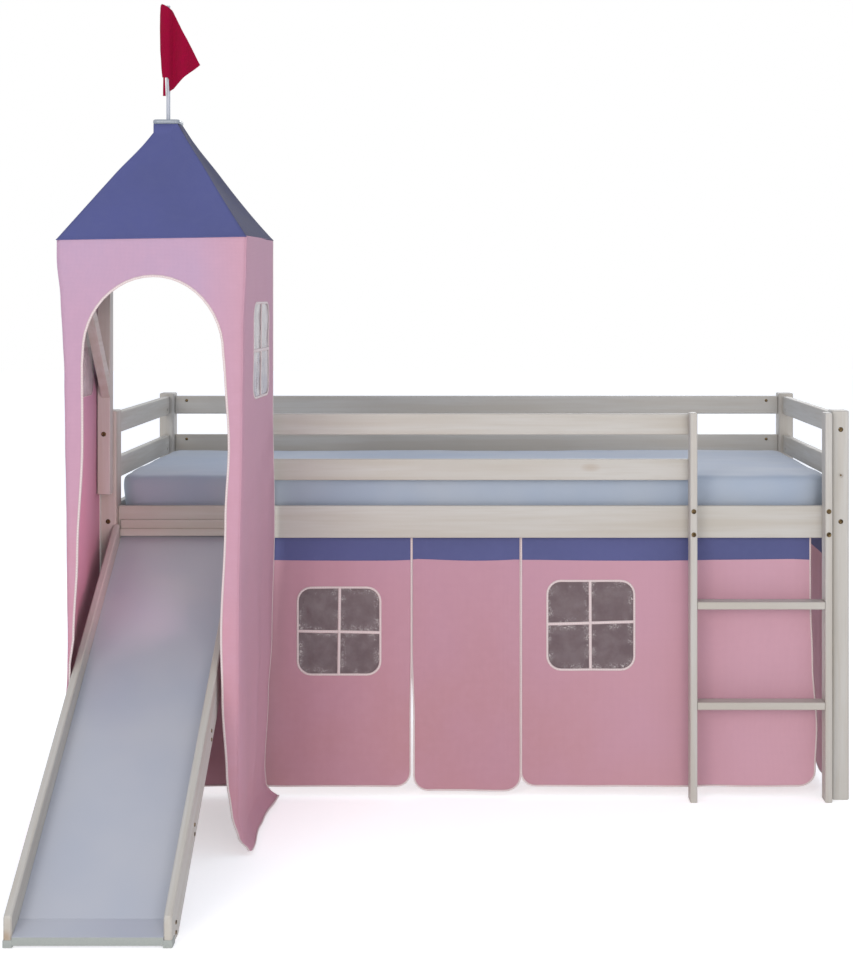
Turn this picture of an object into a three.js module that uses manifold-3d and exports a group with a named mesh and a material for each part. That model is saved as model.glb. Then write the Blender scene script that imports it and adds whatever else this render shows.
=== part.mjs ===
// A child's mid-sleeper bed with a slide, a ladder, play curtains and a cloth tower, as a three.js scene.
// Millimetres, +Z up. X runs along the bed, Y from the slide's foot to the back of the bed.
// The origin is the middle of the footprint on the floor, from the slide's foot to the back posts.
import * as THREE from "three";
import { mergeVertices } from "three/addons/utils/BufferGeometryUtils.js";
import Module from "manifold-3d";

const wasm = await Module();
wasm.setup();

// Driving dimensions
const gap = 0.3; // left between two pieces that touch
const overrun = 6; // by which a cutter passes the face that it cuts
const weld = 0.001; // vertices closer than this are one

const post = { wide: 47, deep: 70, rise: 10, ease: 5 };
const rail = { thick: 20, ease: 3 };
const bedRail = { tall: 90, underside: 725, endClear: 8, sideClear: 5 };
const guardRail = { tall: 59, above: 71, between: 68 };
const mattress = {
  length: 2000,
  width: 900,
  thick: 120,
  corner: 70,
  edge: 26,
  crown: 5,
  waist: 4,
};
const slat = { count: 13, wide: 70, thick: 15, belowRailTop: 38 };
const webbing = { wide: 25, thick: 2, inset: 90 };
const ledge = { deep: 30, tall: 20, endInset: 8 };
const bolt = {
  head: 7,
  sink: 2.5,
  barrel: 5,
  barrelDepth: 14,
  barrelInset: 38,
  sides: 12,
};
const bedBoltShare = 0.54; // how far up the bed rail its bolts sit
const guardBoltShare = 0.28; // how far up a guard rail its bolts sit
// The rails along the bed are bolted higher up, so that the bolts pass each other in the posts
const bedLongBoltShare = 0.8;
const guardLongBoltShare = 0.74;

const ladder = {
  inset: 52,
  width: 393,
  railThick: 20,
  railDeep: 55,
  topDrop: 5,
  rungRise: 277.5,
  rungThick: 21,
  rungs: 2,
  ease: 3,
};

const slide = {
  left: 38,
  rightClear: 10,
  reach: 1160,
  railThick: 18,
  railTall: 100,
  endTall: 67,
  belowRailTop: 49,
  deckDrop: 52,
  deckLift: 11,
  deckThick: 6,
  battens: 4,
  battenWide: 45,
  battenDeep: 28,
  battenTop: 77,
  footLong: 60,
  footLip: 24,
  footThick: 24,
  footClear: 5,
  headerThick: 18,
  headerTall: 43,
  headerLip: 19,
  headerStep: 8,
  ease: 3,
};
const entryBoard = { wide: 60 };

const tower = {
  left: 0.5,
  width: 470,
  depth: 510,
  rise: 461,
  cloth: 2.5,
  barWide: 35,
  barTall: 42,
  uprightDeep: 45,
  uprightLap: 228,
  braceRise: 38,
  braceHead: 100,
  braceThick: 24,
  braceDeep: 40,
  frontBarDeep: 35,
  capWide: 74,
  capThick: 12,
  roofRise: 320,
  collarTall: 24,
  hubTall: 74,
  rafterThick: 18,
  rafterDeep: 20,
  hem: 6,
  ease: 2,
};
const arch = { centre: 5.5, halfWidth: 178, rise: 192, topDrop: 92 };
const wallWindow = { wide: 240, tall: 245, back: 240, drop: 285 };
const window = { bar: 14, corner: 30, cornerSteps: 3, pane: 0.8, seam: 10 };

const pole = { radius: 5.2, rise: 303, sides: 14 };
const flag = {
  over: 4,
  sleeveTall: 192,
  long: 84,
  sleeve: 1.4,
  cloth: 1.4,
  wave: 7,
};

const curtain = {
  cloth: 3,
  tapeTall: 16,
  tapeThick: 4,
  tapeInset: 12,
  corner: 42,
  bottom: 25,
  middleBottom: 13,
  wave: 4.5,
  waveLong: 136,
  leftClear: 3,
  rightClear: 51,
  apart: 6,
};
// A window's middle lies at its share along its panel
const leftLight = { alongShare: 0.7515, height: 462, wide: 230, tall: 242 };
const rightLight = { alongShare: 0.2393, height: 477.5, wide: 242, tall: 247 };
const curtainPanels = [
  { name: "left", wideShare: 0.4231, bottom: curtain.bottom, light: leftLight },
  { name: "middle", wideShare: 0.1548, bottom: curtain.middleBottom },
  { name: "right", wideShare: 0.4221, bottom: curtain.bottom, light: rightLight },
];

// Sizes that follow from the ones above
const railFront = (post.deep - rail.thick) / 2; // the front rails stand in the middle of the posts
const railBack = railFront + rail.thick;
const halfLength = mattress.length / 2 + bedRail.endClear + (rail.thick + post.wide) / 2;
const bedWidth = mattress.width + 2 * (bedRail.sideClear + railBack);
const bedRailTop = bedRail.underside + bedRail.tall;
const innerEnd = halfLength - post.wide;
const slatTop = bedRailTop - slat.belowRailTop;
const ledgeTop = slatTop - slat.thick - gap;
const tapeTop = ledgeTop - ledge.tall - gap;
const tapeBottom = tapeTop - curtain.tapeTall;
const lowerGuardTop = bedRailTop + guardRail.above + guardRail.tall;
const upperGuardTop = lowerGuardTop + guardRail.between + guardRail.tall;
const guardTops = [upperGuardTop, lowerGuardTop];
const postTop = upperGuardTop + post.rise;
const endRailHalf = rail.thick / 2;
const endRailMiddle = halfLength - post.wide / 2;

const paint = { color: 0xe4ddd2, roughness: 0.45, metalness: 0 };
const bareWood = { color: 0xc9ad86, roughness: 0.7, metalness: 0 };
const slidePaint = { color: 0xdfe3e8, roughness: 0.3, metalness: 0 };
const rose = { color: 0xc792a6, roughness: 0.9, metalness: 0 };
const violet = { color: 0x5d6492, roughness: 0.9, metalness: 0 };
const crimson = { color: 0xa3123f, roughness: 0.85, metalness: 0 };
const clear = { color: 0xb9b4b4, roughness: 0.15, metalness: 0 };
const sheetWhite = { color: 0xc9d2ea, roughness: 0.95, metalness: 0 };
const white = { color: 0xf0eeea, roughness: 0.8, metalness: 0 };

const X = new THREE.Vector3(1, 0, 0);
const Y = new THREE.Vector3(0, 1, 0);
const Z = new THREE.Vector3(0, 0, 1);
const toBack = [Y, Z, X]; // a profile drawn in Y and Z, extruded along X
const facingFront = [X, Z, Y.clone().negate()]; // a profile drawn in X and Z, extruded along Y

// Solids

function solid(geometry) {
  const bare = geometry.clone();
  bare.deleteAttribute("normal");
  bare.deleteAttribute("uv");
  const merged = mergeVertices(bare, weld);
  return new wasm.Manifold(
    new wasm.Mesh({
      numProp: 3,
      vertProperties: merged.attributes.position.array,
      triVerts: new Uint32Array(merged.index.array),
    }),
  );
}

function surface(body) {
  const made = body.getMesh();
  const geometry = new THREE.BufferGeometry();
  geometry.setAttribute("position", new THREE.BufferAttribute(made.vertProperties, 3));
  geometry.setIndex(new THREE.BufferAttribute(made.triVerts, 1));
  return faceted(geometry);
}

function faceted(geometry) {
  const flat = geometry.index ? geometry.toNonIndexed() : geometry;
  flat.computeVertexNormals();
  return flat;
}

// A closed surface from points and triangles, turned to face outwards
function closed(points, triangles) {
  let volume = 0;
  for (const [a, b, c] of triangles)
    volume += points[a].dot(new THREE.Vector3().crossVectors(points[b], points[c]));
  const order = volume < 0 ? ([a, b, c]) => [a, c, b] : (triangle) => triangle;
  const geometry = new THREE.BufferGeometry().setFromPoints(points);
  geometry.setIndex(triangles.flatMap(order));
  return faceted(geometry);
}

function add(parent, name, finish, geometry, position = new THREE.Vector3()) {
  const mesh = new THREE.Mesh(geometry, new THREE.MeshStandardMaterial(finish));
  mesh.name = name;
  mesh.position.copy(position);
  parent.add(mesh);
  return mesh;
}

function roundedRectangle(wide, tall, radius) {
  const right = wide / 2;
  const top = tall / 2;
  const shape = new THREE.Shape();
  shape.moveTo(-right + radius, -top);
  shape.absarc(right - radius, -top + radius, radius, -Math.PI / 2, 0);
  shape.absarc(right - radius, top - radius, radius, 0, Math.PI / 2);
  shape.absarc(-right + radius, top - radius, radius, Math.PI / 2, Math.PI);
  shape.absarc(-right + radius, -top + radius, radius, Math.PI, 1.5 * Math.PI);
  return shape;
}

// Extrudes a shape by long, centred on its plane, with its edges eased, and lays its own X, Y and Z along
// the three given directions
function extruded(shape, long, ease, directions, curveSegments = 1) {
  const geometry = new THREE.ExtrudeGeometry(shape, {
    depth: long - 2 * ease,
    bevelEnabled: ease > 0,
    bevelThickness: ease,
    bevelSize: ease,
    bevelOffset: -ease,
    bevelSegments: 1,
    curveSegments,
  });
  geometry.translate(0, 0, ease - long / 2);
  return geometry.applyMatrix4(new THREE.Matrix4().makeBasis(...directions));
}

// A drilled hole's cutter: mouth lies on the face, inward points into the wood
function drill(mouth, inward, radius, depth, sides = bolt.sides) {
  const cutter = new THREE.CylinderGeometry(radius, radius, depth + overrun, sides);
  cutter.applyQuaternion(new THREE.Quaternion().setFromUnitVectors(Y, inward));
  const middle = mouth.clone().addScaledVector(inward, (depth - overrun) / 2);
  return solid(cutter.translate(middle.x, middle.y, middle.z));
}

function drilled(geometry, cutters) {
  if (!cutters.length) return geometry;
  return surface(cutters.reduce((body, cutter) => body.subtract(cutter), solid(geometry)));
}

// A planed board or post with eased edges, between two places along each direction. Its grain runs along
// its longest side, and its holes are cutters in its parent's frame.
function board(parent, name, finish, [x0, x1], [y0, y1], [z0, z1], ease, cutters = []) {
  const middle = new THREE.Vector3((x0 + x1) / 2, (y0 + y1) / 2, (z0 + z1) / 2);
  const size = new THREE.Vector3(x1 - x0, y1 - y0, z1 - z0);
  const long = Math.max(size.x, size.y, size.z);
  let geometry;
  if (long === size.x)
    geometry = extruded(roundedRectangle(size.y, size.z, ease), long, ease / 2, toBack);
  else if (long === size.y)
    geometry = extruded(roundedRectangle(size.z, size.x, ease), long, ease / 2, [Z, X, Y]);
  else geometry = extruded(roundedRectangle(size.x, size.y, ease), long, ease / 2, [X, Y, Z]);
  const local = cutters.map((c) => c.translate([-middle.x, -middle.y, -middle.z]));
  return add(parent, name, finish, drilled(geometry, local), middle);
}

// A piece with a profile in the Y-Z plane and a thickness along X, centred on x
function profiled(parent, name, finish, points, thick, ease, x) {
  const shape = new THREE.Shape(points.map(([y, z]) => new THREE.Vector2(y, z)));
  return add(parent, name, finish, extruded(shape, thick, ease, toBack), new THREE.Vector3(x, 0, 0));
}

// A sheet of cloth as a closed solid. at(u, v) is a point of its middle, across is the way of its thickness,
// and a ridge rounds the edge at v = 0 by raising its middle.
function sheet(at, across, thick, columns, rows, ridge) {
  const points = [];
  for (const side of [1, -1])
    for (let j = 0; j <= rows; j++)
      for (let i = 0; i <= columns; i++)
        points.push(at(i / columns, j / rows).addScaledVector(across, (side * thick) / 2));
  const stride = columns + 1;
  const layer = stride * (rows + 1);
  const triangles = [];
  const quad = (a, b, c, d) => triangles.push([a, b, c], [a, c, d]);
  for (let j = 0; j < rows; j++)
    for (let i = 0; i < columns; i++) {
      const a = j * stride + i;
      quad(a, a + 1, a + 1 + stride, a + stride);
      quad(layer + a, layer + a + stride, layer + a + 1 + stride, layer + a + 1);
    }
  const last = rows * stride;
  for (let i = 0; i < columns; i++)
    quad(last + i, last + i + 1, layer + last + i + 1, layer + last + i);
  for (let j = 0; j < rows; j++) {
    const left = j * stride;
    const right = left + columns;
    quad(left, left + stride, layer + left + stride, layer + left);
    quad(right + stride, right, layer + right, layer + right + stride);
  }
  if (ridge) {
    const crest = points.length;
    for (let i = 0; i <= columns; i++) points.push(at(i / columns, 0).add(ridge));
    for (let i = 0; i < columns; i++) {
      quad(i + 1, i, crest + i, crest + i + 1);
      quad(layer + i, layer + i + 1, crest + i + 1, crest + i);
    }
    triangles.push([0, layer, crest]);
    triangles.push([columns, crest + columns, layer + columns]);
  } else
    for (let i = 0; i < columns; i++) quad(i + 1, i, layer + i, layer + i + 1);
  return closed(points, triangles);
}

// Reads a table of [place share, value share] rows at a place, smoothly from row to row
function along(shares, place) {
  const next = shares.findIndex(([at]) => at >= place);
  if (next < 0) return shares[shares.length - 1][1];
  if (next === 0) return shares[0][1];
  const [from, low] = shares[next - 1];
  const [to, high] = shares[next];
  return low + (high - low) * THREE.MathUtils.smoothstep(place, from, to);
}

// The four lights of a sewn window with a cross of tape, as shapes about the window's middle
function windowLights(wide, tall) {
  const bar = window.bar / 2;
  const corner = window.corner;
  return [
    [1, 1],
    [-1, 1],
    [-1, -1],
    [1, -1],
  ].map(([sx, sz]) => {
    const shape = new THREE.Shape();
    const right = wide / 2;
    const top = tall / 2;
    shape.moveTo(sx * bar, sz * bar);
    shape.lineTo(sx * right, sz * bar);
    shape.lineTo(sx * right, sz * (top - corner));
    shape.quadraticCurveTo(sx * right, sz * top, sx * (right - corner), sz * top);
    shape.lineTo(sx * bar, sz * top);
    return shape;
  });
}

// Cuts shapes right through a sheet
function pierced(geometry, shapes, directions, centre) {
  geometry.computeBoundingSphere();
  const depth = 2 * (geometry.boundingSphere.radius + overrun);
  const body = shapes.reduce((left, shape) => {
    const cutter = extruded(shape, depth, 0, directions, window.cornerSteps);
    return left.subtract(solid(cutter.translate(centre.x, centre.y, centre.z)));
  }, solid(geometry));
  return surface(body);
}

const bunk = new THREE.Group();
const model = new THREE.Group(); // its Y = 0 is the front face of the front posts
model.position.y = (slide.reach - bedWidth) / 2;
bunk.add(model);

// Bed frame

const frame = new THREE.Group();
model.add(frame);

function boltRows(guardShare, bedShare) {
  const guard = guardTops.map((top) => top - guardRail.tall * (1 - guardShare));
  return [...guard, bedRail.underside + bedRail.tall * bedShare];
}

for (const [end, sx] of [["left", -1], ["right", 1]])
  for (const [side, sy] of [["front", -1], ["back", 1]]) {
    const x = sx * (halfLength - post.wide / 2);
    const y = sy < 0 ? post.deep / 2 : bedWidth - post.deep / 2;
    const outer = new THREE.Vector3(x + (sx * post.wide) / 2, y, 0);
    const facing = new THREE.Vector3(x, y + (sy * post.deep) / 2, 0);
    const cutters = [
      ...boltRows(guardLongBoltShare, bedLongBoltShare).map((z) =>
        drill(outer.clone().setZ(z), X.clone().multiplyScalar(-sx), bolt.head, bolt.sink),
      ),
      ...boltRows(guardBoltShare, bedBoltShare).map((z) =>
        drill(facing.clone().setZ(z), Y.clone().multiplyScalar(-sy), bolt.head, bolt.sink),
      ),
    ];
    board(
      frame,
      `post_${end}_${side}`,
      paint,
      [x - post.wide / 2, x + post.wide / 2],
      [y - post.deep / 2, y + post.deep / 2],
      [0, postTop],
      post.ease,
      cutters,
    );
  }

// A rail along the bed, with a barrel nut's hole near each end on the side of the mattress
function longRail(name, x0, x1, back, top, tall, boltShare, nutEnds) {
  const y0 = back ? bedWidth - railBack : railFront;
  const inner = back ? y0 : y0 + rail.thick;
  const inward = Y.clone().multiplyScalar(back ? 1 : -1);
  const cutters = nutEnds.map((x) =>
    drill(
      new THREE.Vector3(x, inner, top - tall * (1 - boltShare)),
      inward,
      bolt.barrel,
      bolt.barrelDepth,
    ),
  );
  board(frame, name, paint, [x0, x1], [y0, y0 + rail.thick], [top - tall, top], rail.ease, cutters);
}

const railEnd = innerEnd - gap;
const bothNuts = [-1, 1].map((side) => side * (railEnd - bolt.barrelInset));
for (const back of [false, true])
  longRail(
    `side_rail_${back ? "back" : "front"}`,
    -railEnd,
    railEnd,
    back,
    bedRailTop,
    bedRail.tall,
    bedLongBoltShare,
    bothNuts,
  );
const guardLeft = -halfLength + tower.left + tower.width - entryBoard.wide;
const guardRight = halfLength - ladder.inset - ladder.width + ladder.railThick;
["upper", "lower"].forEach((level, i) => {
  const top = guardTops[i];
  const [tall, share] = [guardRail.tall, guardLongBoltShare];
  longRail(`guard_back_${level}`, -railEnd, railEnd, true, top, tall, share, bothNuts);
  longRail(`guard_front_${level}`, guardLeft, guardRight, false, top, tall, share, []);
});

for (const [end, sx] of [["left", -1], ["right", 1]])
  [
    ["upper", guardTops[0], guardRail.tall, guardBoltShare],
    ["middle", guardTops[1], guardRail.tall, guardBoltShare],
    ["bed", bedRailTop, bedRail.tall, bedBoltShare],
  ].forEach(([level, top, tall, boltShare]) => {
    const x = sx * endRailMiddle;
    const y0 = post.deep + gap;
    const y1 = bedWidth - post.deep - gap;
    const z = top - tall * (1 - boltShare);
    const cutters = [y0 + bolt.barrelInset, y1 - bolt.barrelInset].map((y) =>
      drill(
        new THREE.Vector3(x - sx * endRailHalf, y, z),
        X.clone().multiplyScalar(sx),
        bolt.barrel,
        bolt.barrelDepth,
      ),
    );
    board(
      frame,
      `end_rail_${end}_${level}`,
      paint,
      [x - endRailHalf, x + endRailHalf],
      [y0, y1],
      [top - tall, top],
      rail.ease,
      cutters,
    );
  });

board(
  frame,
  "slide_entry_board",
  paint,
  [guardLeft, guardLeft + entryBoard.wide],
  [gap, railFront - gap],
  [bedRail.underside, postTop - ladder.topDrop],
  rail.ease,
);

// Slatted base

const ledgeEnd = innerEnd - ledge.endInset;
for (const back of [false, true]) {
  const y0 = back ? bedWidth - railBack - gap - ledge.deep : railBack + gap;
  board(
    frame,
    `slat_ledge_${back ? "back" : "front"}`,
    bareWood,
    [-ledgeEnd, ledgeEnd],
    [y0, y0 + ledge.deep],
    [ledgeTop - ledge.tall, ledgeTop],
    rail.ease,
  );
}

// The slats are held at their spacing by two webbing tapes under them, so the base rolls up as one piece
function slatRoll() {
  const long = 2 * ledgeEnd;
  const pitch = (long - slat.wide) / (slat.count - 1);
  const outline = roundedRectangle(slat.wide, slat.thick, rail.ease);
  const one = solid(extruded(outline, mattress.width, 0, facingFront));
  let roll;
  for (let i = 0; i < slat.count; i++) {
    const placed = one.translate([i * pitch - (long - slat.wide) / 2, 0, 0]);
    roll = roll ? roll.add(placed) : placed;
  }
  for (const side of [-1, 1]) {
    const tape = new THREE.BoxGeometry(long - slat.wide, webbing.wide, 2 * webbing.thick);
    tape.translate(0, side * (mattress.width / 2 - webbing.inset), -slat.thick / 2);
    roll = roll.add(solid(tape));
  }
  return surface(roll);
}
add(frame, "slat_roll", bareWood, slatRoll(), new THREE.Vector3(0, bedWidth / 2, slatTop - slat.thick / 2));

// The mattress has a crowned top, sides drawn in between the piped edges, and a flat underside
function mattressForm() {
  // Shares of the height, and of the edge's radius drawn in
  const levelShares = [[0, 1], [0, 0.3], [0.3, 0], [0.5, 0], [0.7, 0], [1, 0.3], [1, 1]];
  const innerShares = [0.75, 0.4];
  const points = [];
  const turns = 5;
  const alongSide = [2, 5];
  const outline = (inset) => {
    const centre = (k) => {
      const turn = (Math.PI / 2) * k + Math.PI / 4;
      const x = Math.sign(Math.cos(turn)) * (mattress.length / 2 - mattress.corner);
      return new THREE.Vector2(x, Math.sign(Math.sin(turn)) * (mattress.width / 2 - mattress.corner));
    };
    const arc = (k) =>
      Array.from({ length: turns }, (_, i) => {
        const angle = (Math.PI / 2) * (k + i / (turns - 1));
        const out = new THREE.Vector2(Math.cos(angle), Math.sin(angle));
        return centre(k).addScaledVector(out, mattress.corner - inset);
      });
    return [0, 1, 2, 3].flatMap((k) => {
      const made = arc(k);
      const [from, to] = [made[turns - 1], arc((k + 1) % 4)[0]];
      const steps = alongSide[(k + 1) % 2];
      for (let i = 1; i <= steps; i++) made.push(from.clone().lerp(to, i / (steps + 1)));
      return made;
    });
  };
  const around = outline(0).length;
  const shoulder = mattress.thick - mattress.crown;
  levelShares.forEach(([heightShare, edgeShare]) => {
    const waist = mattress.waist * Math.sin(Math.PI * heightShare) ** 2;
    outline(mattress.edge * edgeShare + waist).forEach((p) =>
      points.push(new THREE.Vector3(p.x, p.y, shoulder * heightShare)),
    );
  });
  innerShares.forEach((share) =>
    outline(mattress.edge).forEach((p) => {
      const rise = mattress.crown * Math.cos((Math.PI / 2) * share);
      points.push(new THREE.Vector3(p.x * share, p.y * share, shoulder + rise));
    }),
  );
  const topMiddle = points.push(new THREE.Vector3(0, 0, mattress.thick)) - 1;
  const bottomMiddle = points.push(new THREE.Vector3(0, 0, 0)) - 1;
  const rings = levelShares.length + innerShares.length;
  const triangles = [];
  for (let j = 0; j < rings - 1; j++)
    for (let i = 0; i < around; i++) {
      const a = j * around + i;
      const b = j * around + ((i + 1) % around);
      triangles.push([a, b, b + around], [a, b + around, a + around]);
    }
  for (let i = 0; i < around; i++) {
    const next = (i + 1) % around;
    triangles.push([next, i, bottomMiddle]);
    triangles.push([(rings - 1) * around + i, (rings - 1) * around + next, topMiddle]);
  }
  return closed(points, triangles);
}
add(frame, "mattress", sheetWhite, mattressForm(), new THREE.Vector3(0, bedWidth / 2, slatTop + gap));

// Ladder, standing on the floor in front of the bed rail

const ladderGroup = new THREE.Group();
ladderGroup.position.set(halfLength - ladder.inset - ladder.width / 2, railFront - gap, 0);
model.add(ladderGroup);
for (const [side, sx] of [["left", -1], ["right", 1]]) {
  const x = sx * (ladder.width / 2 - ladder.railThick / 2);
  board(
    ladderGroup,
    `ladder_rail_${side}`,
    paint,
    [x - ladder.railThick / 2, x + ladder.railThick / 2],
    [-ladder.railDeep, 0],
    [0, postTop - ladder.topDrop],
    ladder.ease,
  );
}
for (let i = 1; i <= ladder.rungs; i++) {
  const half = ladder.width / 2 - ladder.railThick - gap;
  board(
    ladderGroup,
    `ladder_rung_${i}`,
    paint,
    [-half, half],
    [-ladder.railDeep, 0],
    [i * ladder.rungRise - ladder.rungThick, i * ladder.rungRise],
    ladder.ease,
  );
}

// Slide

const slideGroup = new THREE.Group();
const slideWidth = guardLeft - slide.rightClear + halfLength - slide.left;
slideGroup.position.set(-halfLength + slide.left + slideWidth / 2, 0, 0);
model.add(slideGroup);
const slideTop = bedRailTop - slide.belowRailTop;
const slope = (slideTop - slide.endTall) / slide.reach;
const upright = Math.sqrt(1 + slope * slope); // turns a depth square to the slope into a drop straight down
const railLine = (y, depth) => slideTop + slope * y - depth * upright;
const yAt = (z, depth) => (z + depth * upright - slideTop) / slope;
const slideInner = slideWidth / 2 - slide.railThick - gap;

for (const [side, sx] of [["left", -1], ["right", 1]]) {
  const back = -gap;
  profiled(
    slideGroup,
    `slide_rail_${side}`,
    paint,
    [
      [-slide.reach, 0],
      [yAt(0, slide.railTall), 0],
      [back, railLine(back, slide.railTall)],
      [back, railLine(back, 0)],
      [-slide.reach + slide.ease, railLine(-slide.reach + slide.ease, 0)],
      [-slide.reach, railLine(-slide.reach, 0) - slide.ease],
    ],
    slide.railThick,
    slide.ease,
    sx * (slideWidth / 2 - slide.railThick / 2),
  );
}

// The deck comes a little closer to the rails' top towards the slide's head
const deckLine = (y, depth) =>
  railLine(y, slide.deckDrop - slide.deckLift * (1 + y / slide.reach) + depth);

// The deck is a smooth panel glued to cross battens that the slide's rails are bolted to
function deckForm() {
  const long = 2 * slideInner;
  const back = railFront - gap;
  const foot = -slide.reach + slide.footLong + gap;
  const panel = new THREE.Shape(
    [
      [foot, deckLine(foot, 0)],
      [back, deckLine(back, 0)],
      [back, deckLine(back, slide.deckThick)],
      [foot, deckLine(foot, slide.deckThick)],
    ].map(([y, z]) => new THREE.Vector2(y, z)),
  );
  let body = solid(extruded(panel, long, 0, toBack));
  const footMiddle = -slide.reach + slide.footLong / 2;
  const pitch = (-footMiddle - slide.battenTop) / slide.battens;
  const half = slide.battenWide / upright / 2;
  const glued = slide.deckThick / 2;
  const lower = slide.deckThick + slide.battenDeep;
  const lean = (slide.battenDeep * slope) / upright;
  for (let i = 1; i <= slide.battens; i++) {
    const y = footMiddle + i * pitch;
    const batten = new THREE.Shape(
      [
        [y + half, glued],
        [y - half, glued],
        [y - half + lean, lower],
        [y + half + lean, lower],
      ].map(([at, depth]) => new THREE.Vector2(at, deckLine(at, depth))),
    );
    body = body.add(solid(extruded(batten, long, 0, toBack)));
  }
  return surface(body);
}
add(slideGroup, "slide_deck", slidePaint, deckForm());

// The foot board carries the deck's last stretch on down to a lip just over the floor
const footFront = -slide.reach + gap;
const footBack = -slide.reach + slide.footLong;
const footTop = deckLine(footBack, 0) - gap;
const footLean = (footTop - slide.footLip) / (footBack - footFront);
const footFlat = (slide.footClear + slide.footThick - slide.footLip) / footLean;
profiled(
  slideGroup,
  "slide_foot_board",
  slidePaint,
  [
    [footFront, slide.footClear],
    [footFront + footFlat, slide.footClear],
    [footBack, footTop - slide.footThick],
    [footBack, footTop],
    [footFront, slide.footLip],
  ],
  2 * slideInner,
  0,
  0,
);
// The header closes the deck's head against the bed rail. Its upper part is set back from its lip.
const headerBack = railFront - gap;
const headerFront = headerBack - slide.headerThick;
const headerFoot = deckLine(headerBack, 0) + gap;
profiled(
  slideGroup,
  "slide_header_board",
  paint,
  [
    [headerFront, headerFoot],
    [headerBack, headerFoot],
    [headerBack, headerFoot + slide.headerTall],
    [headerFront + slide.headerStep, headerFoot + slide.headerTall],
    [headerFront + slide.headerStep, headerFoot + slide.headerLip],
    [headerFront, headerFoot + slide.headerLip],
  ],
  2 * slideInner,
  0,
  0,
);

// Tower frame. Its group's origin is the middle of the tower's plan, on the floor.

const towerGroup = new THREE.Group();
towerGroup.position.set(-halfLength + tower.left + tower.width / 2, -tower.depth / 2, 0);
model.add(towerGroup);
const halfWide = tower.width / 2;
const halfDeep = tower.depth / 2;
const frameX = halfWide - tower.cloth - gap; // the frame's outer faces
const frameFront = -halfDeep + tower.cloth + gap;
const frameBack = halfDeep - gap;
const eave = postTop + tower.rise;
const capTop = eave + tower.roofRise;
const barTop = eave - gap;
const barBottom = barTop - tower.barTall;

for (const [side, sx] of [["left", -1], ["right", 1]]) {
  const x = [sx * frameX, sx * (frameX - tower.barWide)].sort((a, b) => a - b);
  board(
    towerGroup,
    `tower_upright_${side}`,
    paint,
    x,
    [frameBack - tower.uprightDeep, frameBack],
    [postTop - tower.uprightLap, barBottom - gap],
    tower.ease,
  );
  board(towerGroup, `tower_arm_${side}`, paint, x, [frameFront, frameBack], [barBottom, barTop], tower.ease);
  const foot = postTop + tower.braceRise;
  const face = frameBack - tower.uprightDeep - gap;
  const head = frameFront + tower.braceHead;
  const under = barBottom - gap;
  const rise = (under - foot) / (face - head);
  const cut = tower.braceDeep * Math.sqrt(1 + rise * rise);
  profiled(
    towerGroup,
    `tower_brace_${side}`,
    paint,
    [
      [face, foot],
      [face, foot + cut],
      [head + cut / rise, under],
      [head, under],
    ],
    tower.braceThick,
    tower.ease,
    sx * (frameX - tower.barWide + tower.braceThick / 2),
  );
}
board(
  towerGroup,
  "tower_front_bar",
  paint,
  [-frameX + tower.barWide + gap, frameX - tower.barWide - gap],
  [frameFront, frameFront + tower.frontBarDeep],
  [barBottom, barTop],
  tower.ease,
);

// Roof: every level is the eave's rectangle made smaller, so the hips run straight towards the middle

const collarShare = tower.capWide / tower.width;
const collarTop = capTop - tower.capThick - gap;
const collarFoot = collarTop - tower.collarTall;
const hipAngle = Math.atan2(halfDeep, halfWide);
const hipLong = Math.hypot(halfWide, halfDeep);
const hipSlope = (collarFoot - eave) / (hipLong * (1 - collarShare));
const faceSlope = (collarFoot - eave) / (halfWide * (1 - collarShare));
const slantCloth = tower.cloth * Math.hypot(1, hipLong / (collarFoot - eave));

function roofForm() {
  const perSide = 4;
  const around = 4 * perSide;
  const bands = 5;
  const sagShare = 0.035; // how far the middle of a side hangs in, as a share of the tower's width
  const levels = [];
  for (let j = 0; j <= bands; j++) {
    const up = j / bands;
    const share = 1 + (collarShare - 1) * up;
    levels.push([share, eave + (collarFoot - eave) * up, Math.sin(Math.PI * up) * sagShare]);
  }
  levels.push([collarShare, collarTop, 0]);
  const ring = ([share, z, sag], inset) => {
    const made = [];
    for (let k = 0; k < around; k++) {
      const side = Math.floor(k / perSide);
      const t = (k % perSide) / perSide;
      const corners = [
        [-1, -1],
        [1, -1],
        [1, 1],
        [-1, 1],
      ];
      const [ax, ay] = corners[side];
      const [bx, by] = corners[(side + 1) % 4];
      const hang = sag * tower.width * Math.sin(Math.PI * t);
      const wide = halfWide * share - inset;
      const deep = halfDeep * share - inset;
      const x = (ax + (bx - ax) * t) * wide;
      const y = (ay + (by - ay) * t) * deep;
      const inX = side % 2 ? Math.sign(x) * hang : 0;
      const inY = side % 2 ? 0 : Math.sign(y) * hang;
      made.push(new THREE.Vector3(x - inX, y - inY, z));
    }
    return made;
  };
  const points = [
    ...levels.flatMap((level) => ring(level, 0)),
    ...[...levels].reverse().flatMap((level) => ring(level, slantCloth)),
  ];
  const rings = 2 * levels.length;
  const triangles = [];
  for (let j = 0; j < rings; j++)
    for (let k = 0; k < around; k++) {
      const a = j * around + k;
      const b = j * around + ((k + 1) % around);
      const c = ((j + 1) % rings) * around + ((k + 1) % around);
      const d = ((j + 1) % rings) * around + k;
      triangles.push([a, b, c], [a, c, d]);
    }
  return closed(points, triangles);
}
add(towerGroup, "tower_roof_fabric", violet, roofForm());

// The hub is a block with its four corners cut square to the rafters
const collarHalf = new THREE.Vector2(halfWide, halfDeep).multiplyScalar(collarShare);
const hubLimit = collarHalf.clone().subScalar(slantCloth + gap);
const hubSeat = hubLimit.length() - tower.rafterThick / 2;
const hubHalf = tower.rafterThick / 2 + tower.ease;

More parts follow.
